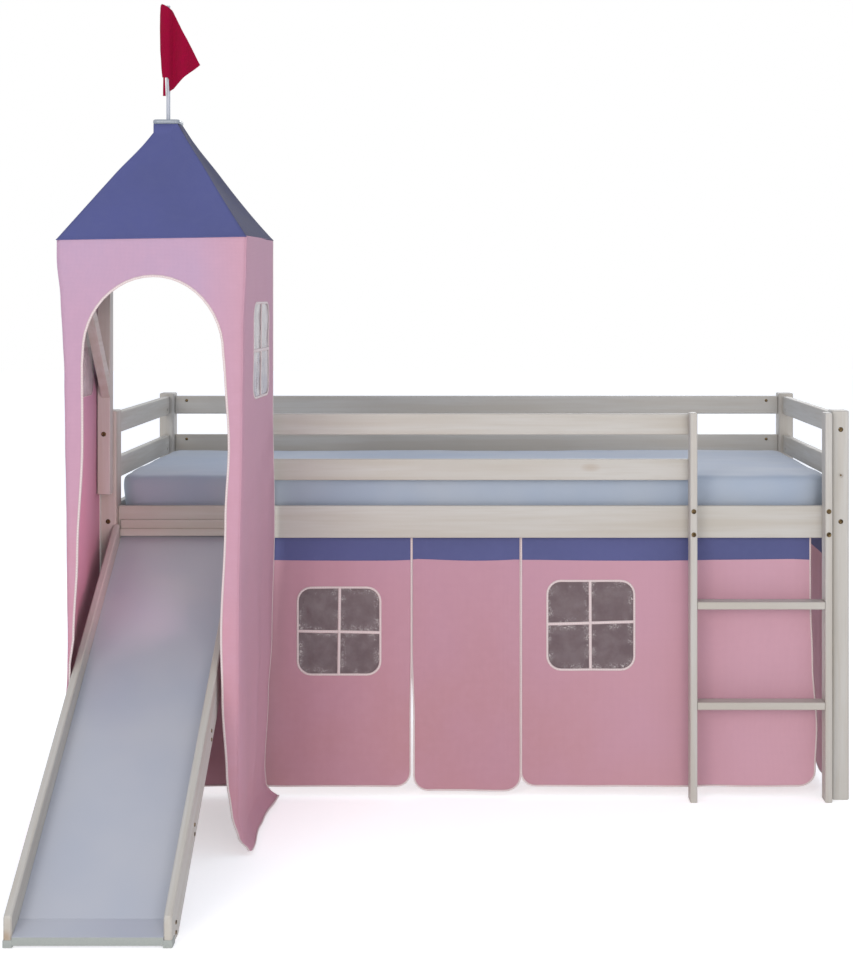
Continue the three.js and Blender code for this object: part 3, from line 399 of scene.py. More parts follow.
def cut(outline, holes=(), pitch=PITCH):
    """Cloth cut to an outline with holes, as a mesh of even triangles"""
    loops = [stepped(loop, pitch) for loop in [outline, *holes]]
    rim = np.array([p for loop in loops for p in loop])
    low, high = rim.min(0), rim.max(0)
    across = np.arange(low[0] + pitch / 2, high[0], pitch)
    up = np.arange(low[1] + pitch / 2, high[1], pitch)
    grid = np.array([(x, y) for y in up for x in across])

    def on_cloth(places):
        kept = enclosed(places, loops[0])
        for hole in loops[1:]:
            kept &= ~enclosed(places, hole)
        return kept

    grid = grid[on_cloth(grid)]
    clear = np.array([np.hypot(*(rim - p).T).min() for p in grid]) > RIM_CLEAR * pitch
    points = [Vector(p) for p in [*rim, *grid[clear]]]
    edges = []
    first = 0
    for loop in loops:
        edges += [(first + i, first + (i + 1) % len(loop)) for i in range(len(loop))]
        first += len(loop)
    points, _, faces, *_ = delaunay_2d_cdt(points, edges, [], 0, SAME_POINT)
    corners = np.array([[points[i] for i in face] for face in faces])
    sides = corners[:, 1:] - corners[:, :1]
    kept = on_cloth(corners.mean(1)) & (np.abs(np.linalg.det(sides)) > SLIVER)
    return points, [f for f, keep in zip(faces, kept) if keep], [tuple(p) for p in points]


def strip(line, wide, closed=False, side=0.0):
    """A tape along a line, wide to its left. side moves it further left."""
    line = [Vector(p) for p in stepped(line, PITCH, closed)]
    count = len(line)
    points, uvs, run = [], [], 0.0
    for i, p in enumerate(line):
        before = line[i - 1] if closed or i else p
        after = line[(i + 1) % count] if closed or i + 1 < count else p
        ahead = (after - before).normalized()
        left = Vector((-ahead.y, ahead.x))
        if i:
            run += (p - before).length
        for share in (0.0, 0.5, 1.0):
            points.append(p + left * (side + wide * share))
            uvs.append((run, share))
    faces = []
    for i in range(count if closed else count - 1):
        a, b = 3 * i, 3 * ((i + 1) % count)
        faces += [(a, b, b + 1, a + 1), (a + 1, b + 1, b + 2, a + 2)]
    return points, faces, uvs


def rounded(middle, wide, tall, radius, steps=6):
    """A rectangle with round corners, anticlockwise from its lower right"""
    x, y = middle
    loop = []
    for quarter, (sx, sy) in enumerate([(1, -1), (1, 1), (-1, 1), (-1, -1)]):
        for i in range(steps + 1):
            angle = math.pi / 2 * (quarter - 1 + i / steps)
            corner = (x + sx * (wide / 2 - radius), y + sy * (tall / 2 - radius))
            loop.append((corner[0] + radius * math.cos(angle), corner[1] + radius * math.sin(angle)))
    return loop


def new_mesh(name, points, faces, uvs=None, weld=0.0):
    """A mesh with its flat map, where points nearer to each other than weld are joined"""
    mesh = bpy.data.meshes.new(name)
    mesh.from_pydata(points, [], faces)
    if uvs:
        layer = mesh.uv_layers.new(name="flat")
        for loop in mesh.loops:
            layer.data[loop.index].uv = uvs[loop.vertex_index]
    if weld:
        bm = bmesh.new()
        bm.from_mesh(mesh)
        bmesh.ops.remove_doubles(bm, verts=bm.verts, dist=weld)
        bm.to_mesh(mesh)
        bm.free()
    return mesh


finishes = {}  # the material and the slot of each finish, from make_finishes


def skin(rings, count, open_rings=False, tube=False):
    """Faces between rings of count points. In a tube the last ring also meets the first."""
    faces = []
    for j in range(rings if tube else rings - 1):
        for k in range(count - 1 if open_rings else count):
            a, b = j * count + k, j * count + (k + 1) % count
            faces.append((a, b, (b + count) % (rings * count), (a + count) % (rings * count)))
    return faces


def shade_smooth(mesh):
    mesh.polygons.foreach_set("use_smooth", [True] * len(mesh.polygons))


def piece(name, mesh, finish, body):
    """Shows a mesh as a smooth piece that rides on a body"""
    material, slot = finishes[finish]
    mesh.materials.append(material)
    shade_smooth(mesh)
    made = show(name, mesh)
    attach(made, body)
    return made


def thicken(made, thick, offset):
    """Gives a sheet its thickness: on both sides at offset 0, on its inner side at -1"""
    shell = made.modifiers.new("thickness", "SOLIDIFY")
    shell.thickness = thick
    shell.offset = offset


def joined(parts):
    """The points, faces and flat places of several parts as one"""
    points, faces, uvs = [], [], []
    for part_points, part_faces, *part_uvs in parts:
        faces += [tuple(i + len(points) for i in face) for face in part_faces]
        points += part_points
        uvs += part_uvs[0] if part_uvs else []
    return points, faces, uvs


def sew(name, parts, place, thick, finish, body):
    """Hangs flat parts by place, which takes a flat point to its place in the air, as one thin piece"""
    points, faces, uvs = joined(parts)
    hung = [place(p[0], p[1]) for p in points]
    made = piece(name, new_mesh(name, hung, faces, uvs), finish, body)
    thicken(made, thick, 0)
    made.modifiers.new("level_edges", "WEIGHTED_NORMAL")
    return made


def ripple(x, y, width, seed):
    """Soft unevenness between -1 and 1, about width across"""
    return noise.noise(Vector((x / width, y / width, seed)))


def ripples(rows, x, y, seed=0.0):
    """Several ripples together. A row is a depth, rates along x and y, a width and the row's own seed."""
    return sum(deep * ripple(x * rate, y * up, width, own + seed) for deep, rate, up, width, own in rows)


def smooth(value, low, high):
    """How far a value is from low to high, with a soft start and end"""
    t = min(1.0, max(0.0, (value - low) / (high - low)))
    return t * t * (3 - 2 * t)


def hump(off, half):
    """A soft hump: 1 at its middle, and fading within about a half width"""
    return math.exp(-((off / half) ** 2))


def table(shares, at):
    """Reads a table of [place, value] rows, smoothly from row to row"""
    for (a, low), (b, high) in zip(shares, shares[1:]):
        if at <= b:
            return low + (high - low) * smooth(at, a, b)
    return shares[-1][1]


# Cloth sizes
CLOTH = 0.9 * MM
HEADING = 2.2 * MM
SEAM_THICK = 1.4 * MM
PIPING = 6 * MM
PIPING_THICK = 2.6 * MM
CURTAIN_PIPING = 4.6 * MM
CURTAIN_PIPING_THICK = 3 * MM
BINDING_LAP = 2 * MM
BAR = 7.8 * MM
FILM = 0.5 * MM
FILM_BACK = 1.2 * MM
FILM_SLACK = 1.6 * MM
SLACK_REACH = 30 * MM
FILM_PITCH = 9 * MM
CORNER = 42 * MM
WINDOW_CORNER = 37 * MM


def windowed(name, hole, place, bars, film_back, film, body):
    """The bound edge, cross of tape and clear film of a sewn window. bars says how far the cross is off the
    window's middle, sideways and up, and how far its upright and its level tape lean."""
    xs, ys = zip(*hole)
    left, right, bottom, top = min(xs), max(xs), min(ys), max(ys)
    middle = ((left + right) / 2, (bottom + top) / 2)
    cross_x, cross_y = middle[0] + bars[0], middle[1] + bars[1]
    tapes = [
        strip(hole[::-1], PIPING, closed=True, side=-BINDING_LAP),
        strip([(cross_x, top), (cross_x + bars[2], bottom)], BAR, side=-BAR / 2),
        strip([(left, cross_y), (right, cross_y + bars[3])], BAR, side=-BAR / 2),
    ]
    bound = sew(f"{name}_window_binding", tapes, place, PIPING_THICK, "binding", body)

    def off_edge(x, y):
        return min(x - left, right - x, y - bottom, top - y)

    def behind(x, y):
        slack = smooth(off_edge(x, y), 0, SLACK_REACH) * FILM_SLACK
        return place(x, y) + film_back * (FILM_BACK + slack * (0.5 + ripple(x, y, 45 * MM, 3.7)))

    pane = rounded(middle, right - left + PIPING, top - bottom + PIPING, WINDOW_CORNER)
    points, faces, _ = cut(pane, pitch=FILM_PITCH)
    seams = [(min(off_edge(x, y), abs(x - cross_x), abs(y - cross_y)), y) for x, y in points]
    clear = sew(f"{name}_window_film", [(points, faces, seams)], behind, FILM, film, body)
    return [bound, clear]


# Curtains

INWARD_Y = Vector((0, 1, 0))
HEADING_LOW = 661 * MM
HEADING_WAVE = 2.5 * MM
HEADING_STEPS = 16
# Place along the bed and half width in metres, and depth in millimetres, of each soft vertical fold
CURTAIN_FOLDS = {
    "left": [(-0.92, 0.030, -5.0), (-0.69, 0.055, 3.0), (-0.21, 0.04, -3.0)],
    "middle": [(-0.09, 0.05, 2.5), (0.07, 0.045, -3.5)],
    "right": [(0.19, 0.04, 2.5), (0.53, 0.07, -3.0), (0.67, 0.03, 5.0), (0.79, 0.05, -4.0)],
    "end": [(0.30, 0.05, 4.0), (0.52, 0.06, -4.0), (0.75, 0.05, 4.0)],
}
CURTAIN_RIPPLES = [(2.4 * MM, 2.2, 0.5, 0.16, 0), (1.1 * MM, 1, 1, 0.05, 5)]
HEM_RIPPLES = [(1.5 * MM, 1, 1, 0.2, 9)]
HEM_REACH = 0.1
FOLD_STARTS = 0.12  # how far under its top a curtain is free to fold
FOLD_LIMIT = 4.6 * MM
# How far each side edge is drawn sideways and back where neighbours meet, in millimetres, and the height in
# metres under which it hangs free
CURTAIN_TUCKS = {
    "left": [(0, 0, 0), (3, 0, 0.42)],
    "middle": [(-6, 3.2, 0.42), (5, 3.0, 0.0)],
    "right": [(-3, 0, 0.0), (0, 0, 0)],
    "end": [(0, 0, 0), (0, 0, 0)],
}
TUCK_FADES = 0.22
TUCK_REACH = (60 * MM, 10 * MM)  # off the edge, from where it fades out to where it is whole
TUCK_TOP = 10 * MM
# How far the right curtain's right edge swings out at each height, in metres and millimetres
EDGE_SWING = [[0.0, 8], [0.07, 13], [0.19, 18], [0.37, 6], [0.56, 0]]
EDGE_SWING_REACH = 0.3


def curtain(name, seed, holes=(), bars=None):
    """A play curtain: violet heading, rose cloth, bound side and bottom edges, and its window"""
    node = f"curtain_{name}"
    low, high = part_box(node)
    along_y = name == "end"
    start, stop = (low.y, high.y) if along_y else (low.x, high.x)
    level = (low.x + high.x) / 2 if along_y else (low.y + high.y) / 2
    top, bottom = high.z, low.z

    def place(x, z):
        off = sum(deep * MM * hump(x - at, half) for at, half, deep in CURTAIN_FOLDS[name])
        off += ripples(CURTAIN_RIPPLES, x, z, seed)
        off = max(-FOLD_LIMIT, min(FOLD_LIMIT, off * smooth(top - z, 0, FOLD_STARTS)))
        lift = ripples(HEM_RIPPLES, x, 0, seed) * smooth(z, bottom + HEM_REACH, bottom)
        if name == "right":
            x += MM * table(EDGE_SWING, z) * smooth(x, stop - EDGE_SWING_REACH, stop) ** 2
        for edge, (across, back, free) in zip((start, stop), CURTAIN_TUCKS[name]):
            near = smooth(abs(x - edge), *TUCK_REACH) * (smooth(z, free - TUCK_FADES, free) if free else 1.0)
            off += back * MM * near * smooth(top - z, 0, TUCK_TOP)
            x += across * MM * near
        return Vector((level - off, x, z + lift)) if along_y else Vector((x, level + off, z + lift))

    def sewn(part, flat, thick, finish):
        return sew(f"{node}_{part}", [flat], place, thick, finish, node)

    arcs = rounded(((start + stop) / 2, (bottom + top) / 2), stop - start, top - bottom, CORNER)
    steps = len(arcs) // 4
    outline = [(stop, top), (start, top), *arcs[3 * steps :], *arcs[:steps]]
    openings = [rounded(h[:2], h[2], h[3], WINDOW_CORNER) for h in holes]
    cloth = sewn("cloth", cut(outline, openings), CLOTH, "rose")
    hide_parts(node)
    span = stop - start
    band = [(start, top), (start, HEADING_LOW)]
    for i in range(1, HEADING_STEPS):
        share = i / HEADING_STEPS
        wave = HEADING_WAVE * math.sin(1.5 * math.pi * share + seed)
        band.append((start + span * share, HEADING_LOW + wave))
    band += [(stop, HEADING_LOW), (stop, top)]
    heading = sewn("heading", cut(band), HEADING, "violet")
    edge = strip(outline[1:] + outline[:1], CURTAIN_PIPING)
    piping = sewn("piping", edge, CURTAIN_PIPING_THICK, "binding")
    with_pieces = [heading, piping]
    for hole in openings:
        with_pieces += windowed(node, hole, place, bars, INWARD_Y, "film", node)
        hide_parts(f"curtain_window_{name}")


# Tower cloth. Heights run from 0 at the eave to 1 at the hem, and insets are shares of the tower's width.

LEFT_CORNER_SHARES = [
    [0, 0], [0.03, 0], [0.1, 0.016], [0.23, 0.034], [0.52, 0.047], [0.66, 0.052], [0.72, 0.05],
    [0.82, 0.012], [1, 0],
]
RIGHT_CORNER_SHARES = [
    [0, -0.012], [0.03, -0.009], [0.15, 0.001], [0.3, 0.006], [0.62, 0.026], [0.94, 0.028], [0.98, 0.004],
    [1, -0.046],
]
RIGHT_EDGE_SHARES = [
    [0, -0.024], [0.3, -0.024], [0.5, -0.034], [0.71, -0.018], [0.82, 0.004], [0.945, 0.024],
    [0.979, 0.016], [0.99, -0.012], [1, -0.062],
]
LEFT_STRIP_SHARES = [[0.18, 0.129], [0.33, 0.131], [0.52, 0.103], [0.65, 0.082], [0.7, 0.059], [1, 0.059]]
RIGHT_STRIP_SHARES = [
    [0.18, 0.105], [0.34, 0.0785], [0.46, 0.097], [0.65, 0.12], [0.75, 0.112], [0.88, 0.088], [0.945, 0.062],
    [0.975, 0.027], [0.996, -0.008], [1, -0.034],
]
ARCH_HALF = 178 * MM
ARCH_CENTRE = 5.5 * MM
ARCH_TOP_DROP = 91.7 * MM
ARCH_RISE = 192 * MM
ARCH_STEPS = 24
STRIP_STEPS = 40
STRIP_TIP = 4 * MM  # how far the right strip reaches round the corner at the hem
SEAM = 5 * MM
FRONT_PROUD = 2 * MM
HEM_LIFT = 5.5 * MM
BACK_INSET = 2 * MM
EAVE_LIFT = (8 * MM, 6 * MM)  # how far the eave is pulled up at its front right corner, and more at the back
EAVE_LIFT_REACH = 0.15
SOFT_CORNER = (1.5 * MM, 9 * MM)  # at the eave, where the arms fill the corner, and lower down
ROUND_CORNER = 15 * MM
WALL_FOLD_SHARE = 0.016
TOWER_RIPPLES = [(2.2 * MM, 3, 0.45, 0.3, 2.1), (1.0 * MM, 1, 1, 0.06, 7.3)]
LOW_RIPPLES = [(3.0 * MM, 5, 0.3, 0.3, 4.4)]  # added towards the hem, between these two heights
LOW_SHARES = (0.4, 0.9)
FREE_DOWN = [[0, 0], [0.03, 1], [0.9, 1], [1, 0.2]]  # how free the cloth is to ripple, from eave to hem
FREE_BACK = [[0, 1], [0.9, 1], [0.99, 0.15]]  # and along a side wall, from the front to its back edge
HEM_HOLLOW = 14 * MM
WINDOW_WIDE = 262 * MM
WINDOW_TALL = 245 * MM
WINDOW_BACK = 222 * MM
WINDOW_DROP = 285 * MM
STRAIGHT_BARS = (0, 0, 0, 0)


def tower():
    """The tower's cloth: a front with an arch and two side walls in one wrap, round soft corners"""
    low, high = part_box("tower_roof_fabric")
    wide, depth = high.x - low.x, high.y - low.y
    middle = (low.x + high.x) / 2
    half = wide / 2
    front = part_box("tower_wall_left")[0].y - FRONT_PROUD
    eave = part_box("tower_wall_left")[1].z
    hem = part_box("tower_wall_right")[0].z + HEM_LIFT
    tall = eave - hem

    def down(z):
        return (eave - z) / tall

    def corners(v):
        left = low.x + wide * table(LEFT_CORNER_SHARES, v)
        return left, high.x - wide * table(RIGHT_CORNER_SHARES, v)

    def soft(t, v):
        radius = SOFT_CORNER[0] + (SOFT_CORNER[1] - SOFT_CORNER[0]) * smooth(v, 0.03, 0.15)
        return (t + math.sqrt(t * t + radius**2)) / 2

    def place(s, z):
        v = max(0.0, down(z))
        left, right = corners(v)
        side = -1 if s < 0 else 1
        along = soft(half - abs(s), v) * (right - left) / wide
        back = soft(abs(s) - half, v)
        u = min(1.0, back / depth)
        corner = left if side < 0 else right
        x = corner - side * along
        if back > 0.2 * MM:
            rear = low.x if side < 0 else high.x - wide * table(RIGHT_EDGE_SHARES, v)
            reach = (1 - u) ** 2 if side < 0 else 1 - u
            fold = wide * WALL_FOLD_SHARE * math.sin(3 * math.pi * u) ** 2
            fold *= smooth(v, 0.45, 1) * (1 - 0.7 * smooth(v, 0.8, 1))
            hollow = HEM_HOLLOW * math.sin(math.pi * u) * smooth(v, 0.9, 1) if side > 0 else 0.0
            x += (rear - corner) * (1 - reach) + side * fold - hollow
        on_wall = smooth(abs(s) - half, -ROUND_CORNER, ROUND_CORNER)
        billow = ripples(TOWER_RIPPLES, s, z) + smooth(v, *LOW_SHARES) * ripples(LOW_RIPPLES, s, z)
        free = table(FREE_DOWN, v) * table(FREE_BACK, u)
        outward = Vector((side * on_wall, -(1 - on_wall), 0))
        right_share = min(1.0, max(0.0, (s + half) / wide))
        lift = right_share * (EAVE_LIFT[0] + EAVE_LIFT[1] * u) * max(0.0, 1 - v / EAVE_LIFT_REACH) ** 2
        return Vector((x, front + back, z + lift)) + outward * billow * free

    def flat_x(x, z):
        left, right = corners(down(z))
        return (x - (left + right) / 2) * wide / (right - left)

    spring = eave - ARCH_TOP_DROP - ARCH_RISE
    heights = [hem + (spring - hem) * i / STRIP_STEPS for i in range(STRIP_STEPS)]
    left_edge = [(flat_x(low.x + wide * table(LEFT_STRIP_SHARES, down(z)), z), z) for z in heights]
    right_edge = [(flat_x(high.x - wide * table(RIGHT_STRIP_SHARES, down(z)), z), z) for z in heights]
    arch = []
    for i in range(ARCH_STEPS + 1):
        angle = math.pi * (1 - i / ARCH_STEPS)
        z = spring + ARCH_RISE * math.sin(angle)
        arch.append((flat_x(middle + ARCH_CENTRE + ARCH_HALF * math.cos(angle), z), z))
    tip = half + STRIP_TIP
    opening = [*left_edge, *arch, *[p for p in right_edge[::-1] if p[0] < tip]]
    reach = half + depth - BACK_INSET
    outline = [(-reach, eave), (-reach, hem), *opening, (tip, hem), (reach, hem), (reach, eave)]
    holes = [
        rounded((side * (reach - WINDOW_BACK), eave - WINDOW_DROP), WINDOW_WIDE, WINDOW_TALL, WINDOW_CORNER)
        for side in (-1, 1)
    ]

    def sewn(name, parts, thick, finish):
        return sew(name, parts, place, thick, finish, "bed")

    cloth = sewn("tower_cloth", [cut(outline, holes)], CLOTH, "tower_rose")
    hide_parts("tower_front_fabric", "tower_wall_left", "tower_wall_right")
    edges = [
        strip(opening[::-1], PIPING, side=-1 * MM),
        strip([(-reach, eave), (-reach, hem)], PIPING),
        strip([(reach, hem), (reach, eave)], PIPING),
        strip([(-reach, hem), left_edge[0]], PIPING),
        strip([(tip, hem), (reach, hem)], PIPING * 0.6),
    ]
    seams = [strip([(s * half, hem), (s * half, eave)], SEAM, side=-SEAM / 2) for s in (-1, 1)]
    with_pieces = [
        sewn("tower_piping", edges, PIPING_THICK, "binding"),
        sewn("tower_corner_seams", seams, SEAM_THICK, "tower_rose"),
    ]
    for side, hole, inward in (("left", holes[0], 1), ("right", holes[1], -1)):
        back = Vector((inward, 0, 0))
        with_pieces += windowed(f"tower_{side}", hole, place, STRAIGHT_BARS, back, "tower_film", "bed")
        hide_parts(f"tower_window_{side}")


# Roof

ROOF_COLUMNS = 26
ROOF_ROWS = 34
ROOF_SAG_SHARE = 0.03
ROOF_RIPPLE = 2.4 * MM
ROOF_HEM = [(1.006, 3 * MM), (1.008, 1 * MM)]  # how far out and down its hem's two rings are
ROOF_FLARE = (3 * MM, 8 * MM)  # to the right at the eave's front right corner, and more at the back
HIP_EASING = 0.06  # how much nearer to each other the columns stand at the hips
PUCKER = (2.2 * MM, 5 * MM)  # beside the hips, and on the right side
PUCKER_REACH = 0.14
PUCKER_TURNS = 150  # radians to a metre of height
COLLAR_SHARE = 0.1485
COLLAR_TALL = 22 * MM
COLLAR_ROUND = 7  # the power of its superellipse, which goes round the eight-sided hub
ROOF_CLOTH = 1.1 * MM
ROOF_WELD = 0.05 * MM
CORNERS = [Vector((-1, -1)), Vector((1, -1)), Vector((1, 1)), Vector((-1, 1))]
OUTWARD = [Vector((0, -1)), Vector((1, 0)), Vector((0, 1)), Vector((-1, 0))]
RIGHT_SIDE = 1


def superellipse(x, y):
    """How far out a direction is, where the collar's rounded square is at 1"""
    return (abs(x) ** COLLAR_ROUND + abs(y) ** COLLAR_ROUND) ** (1 / COLLAR_ROUND)


def roof():
    """The roof's cloth: four faces that sag a little between their hips, up to a straight collar"""
    low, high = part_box("tower_roof_fabric")
    half = Vector(((high.x - low.x) / 2, (high.y - low.y) / 2))
    centre = Vector(((low.x + high.x) / 2, (low.y + high.y) / 2))
    collar_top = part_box("tower_cap")[0].z
    collar_foot = collar_top - COLLAR_TALL
    eave = low.z
    levels = [(share, eave - drop, 0.0) for share, drop in ROOF_HEM]
    for j in range(ROOF_ROWS + 1):
        up = j / ROOF_ROWS
        share = 1 + (COLLAR_SHARE - 1) * up
        levels.append((share, eave + (collar_foot - eave) * up, math.sin(math.pi * up)))
    levels += [(COLLAR_SHARE, collar_foot + 3 * MM, 0.0), (COLLAR_SHARE, collar_top, 0.0)]

    def place(share, z, sag, side, t):
        up = min(1.0, max(0.0, (z - eave) / (collar_foot - eave)))
        eased = t - HIP_EASING * math.sin(2 * math.pi * t)
        flat = CORNERS[side].lerp(CORNERS[(side + 1) % 4], eased)
        deep = PUCKER[side == RIGHT_SIDE]
        hang = ROOF_SAG_SHARE * 2 * half.x + ROOF_RIPPLE * ripple(side * 3 + t * 5, z * 6, 1.0, 1.3)
        for hip in (t, 1 - t):
            hang += deep * hump(hip, PUCKER_REACH) * math.sin(z * PUCKER_TURNS + side + 9 * hip)
        hang *= sag * math.sin(math.pi * eased)
        flat *= 1 + (1 / superellipse(*flat) - 1) * smooth(up, 0.6, 1)
        p = Vector((flat.x * half.x * share, flat.y * half.y * share)) - OUTWARD[side] * hang
        right_share = (1 + flat.x) / 2 * (1 - up) ** 3
        back_share = (1 + flat.y) / 2
        lift = right_share * (EAVE_LIFT[0] + EAVE_LIFT[1] * back_share)
        lift += COLLAR_TALL * smooth(flat.x, 0.2, 0.9) * up * min(1.0, (collar_top - z) / COLLAR_TALL)
        flare = right_share * (ROOF_FLARE[0] + ROOF_FLARE[1] * back_share)
        return centre.x + p.x + flare, centre.y + p.y, z + lift

    around = 4 * ROOF_COLUMNS
    points, uvs = [], []
    for share, z, sag in levels:
        for k in range(around + 1):
            side, column = k // ROOF_COLUMNS % 4, k % ROOF_COLUMNS
            points.append(place(share, z, sag, side, column / ROOF_COLUMNS))
            uvs.append((k / around * 4 * half.x * 2 * share, z))
    faces = skin(len(levels), around + 1, open_rings=True)
    mesh = new_mesh("tower_roof_cloth", points, faces, uvs, ROOF_WELD)
    made = piece("tower_roof_cloth", mesh, "roof_violet", "bed")
    thicken(made, ROOF_CLOTH, -1)
    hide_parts("tower_roof_fabric")


CAP_RIM = 0.7 * MM
CAP_BEVEL = 2.5 * MM
CAP_POINTS = 48


def cap():
    """The roof's lacquered cap: a flat block with round corners and softened edges, bored for the pole"""
    low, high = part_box("tower_cap")
    roof_low, roof_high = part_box("tower_roof_fabric")
    pole_low, pole_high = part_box("flagpole")
    middle = (low + high) / 2
    size = (roof_high - roof_low) / 2 * COLLAR_SHARE
    bore = (pole_high.x - pole_low.x) / 2
    # Height of each ring, and how far it is out of the collar. The first and last go round the bore.
    rings = [
        (low.z, None), (low.z, CAP_RIM - CAP_BEVEL), (low.z + CAP_BEVEL, CAP_RIM),
        (high.z - CAP_BEVEL, CAP_RIM), (high.z, CAP_RIM - CAP_BEVEL), (high.z, None),
    ]
    points = []
    for z, out in rings:
        for k in range(CAP_POINTS):
            angle = 2 * math.pi * k / CAP_POINTS
            c, s = math.cos(angle), math.sin(angle)
            reach = 1 / superellipse(c, s)
            rx, ry = (bore, bore) if out is None else ((size.x + out) * reach, (size.y + out) * reach)
            points.append((middle.x + rx * c, middle.y + ry * s, z))
    mesh = new_mesh("tower_cap_block", points, skin(len(rings), CAP_POINTS, tube=True))
    made = piece("tower_cap_block", mesh, "cap_lacquer", "bed")
    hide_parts("tower_cap")


# Flag: places are millimetres from the pole's middle, and heights are below the sleeve's top

FLAG_EDGE = [
    (-15.6, 0), (-19, 4), (-21.3, 30), (-21.6, 70), (-20.5, 120), (-17, 170), (-14.5, 194), (-0.3, 194),
    (3, 200), (5, 231), (44, 192), (82.6, 159), (75, 145), (51, 94), (36, 66), (22.6, 40), (10, 16), (2, 9),
    (-8, 3),
]
SLEEVE = [(-21.4, 8), (11.5, 22), (11.5, 190), (-14.5, 193), (-20.5, 120)]
TIE = [(-12, 190), (-7.5, 190), (-5.0, 243), (-12.5, 243)]
TIE_CLOTH = 1.26 * MM
FLAG_PITCH = 5 * MM
TIE_PITCH = 4 * MM
FLAG_LEFT = 21.6 * MM
SLEEVE_MIDDLE = 5 * MM  # how far the loose sleeve's middle is left of the pole's
SLEEVE_HALF = 17 * MM
SLEEVE_BACK = 9.5 * MM
SLEEVE_SEAM = (13 * MM, 4.5 * MM, 4.5 * MM)  # where it is sewn to itself: its place, depth and half width
FLAG_WAVE = (10 * MM, 80 * MM)  # depth and length
FLAG_WAVE_STARTS = 45 * MM
FLAG_CREASE = (1.4 * MM, 22 * MM)


def flag():
    """A crimson pennant whose loose sleeve goes round the pole"""
    pole_low, pole_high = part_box("flagpole")
    middle = (pole_low + pole_high) / 2
    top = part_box("flag")[1].z
    seam, seam_deep, seam_half = SLEEVE_SEAM
    deep, length = FLAG_WAVE

    def bulge(x):
        return math.sqrt(max(0.0, 1 - ((x + SLEEVE_MIDDLE) / SLEEVE_HALF) ** 2)) * SLEEVE_BACK

    def place(x, drop):
        wave = deep * math.sin(2 * math.pi * (x + FLAG_LEFT) / length) * smooth(x, 0, FLAG_WAVE_STARTS)
        crease = FLAG_CREASE[0] * ripple(x, drop, FLAG_CREASE[1], 1.7)
        crease += seam_deep * hump(x - seam, seam_half)
        return Vector((middle.x + x, middle.y - bulge(x) + wave + crease, top - drop))

    def behind(x, drop):
        return Vector((middle.x + x, middle.y + bulge(x), top - drop))

    def sewn(name, line, pitch, where, thick):
        flat = cut([(x * MM, drop * MM) for x, drop in line], pitch=pitch)
        return sew(name, [flat], where, thick, "crimson", "flag")

    cloth = sewn("flag_cloth", FLAG_EDGE[::-1], FLAG_PITCH, place, CLOTH)
    back = sewn("flag_sleeve_back", SLEEVE, FLAG_PITCH, behind, CLOTH)
    tie = sewn("flag_tie", TIE, TIE_PITCH, place, TIE_CLOTH)
    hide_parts("flag")


# Mattress

VOXEL = 16 * MM
PRESSURE = 3.5
SWELL = 5 * MM
SIM_FRAMES = 16
SIM_QUALITY = 4
NO_MOVE = 1e-9
EDGE_DEPTH = 0.02  # of the mattress's firm top and bottom edges
DRAG = 3.2 * MM
CREASES = [(1.3 * MM, 1, 1.6, 0.11, 8.0)]
EDGE_REACH = 90 * MM  # how far in from its edges the sheet is lifted, and where the lift is whole
END_FULL = 15 * MM
SIDE_FULL = 20 * MM
RISE_LIMIT = 4 * MM
END_LIFT = 7 * MM  # where the foam's top edge stands up, and out at the ends
SIDE_LIFT_SHARE = 0.35
SIDE_RIPPLES = [(1.6 * MM, 1.2, 4, 0.15, 2.0)]
SIDE_REACH = 30 * MM


def swollen(source):
    """The points of a mesh after a short cloth simulation with air in it, none moved further than SWELL"""
    rest = np.array([v.co for v in source.data.vertices])
    air = source.modifiers.new("air", "CLOTH")
    air.settings.use_pressure = True
    air.settings.uniform_pressure_force = PRESSURE
    air.settings.effector_weights.gravity = 0
    air.settings.quality = SIM_QUALITY
    air.point_cache.frame_start = 1
    air.point_cache.frame_end = SIM_FRAMES
    scene = bpy.context.scene
    for step in range(1, SIM_FRAMES + 1):
        scene.frame_set(step)
    blown = source.evaluated_get(bpy.context.evaluated_depsgraph_get()).data
    points = np.array([v.co for v in blown.vertices])
    source.modifiers.remove(air)
    scene.frame_set(1)
    moved = points - rest
    far = np.linalg.norm(moved, axis=1, keepdims=True)
    return rest + moved * np.minimum(1, SWELL / np.maximum(far, NO_MOVE))


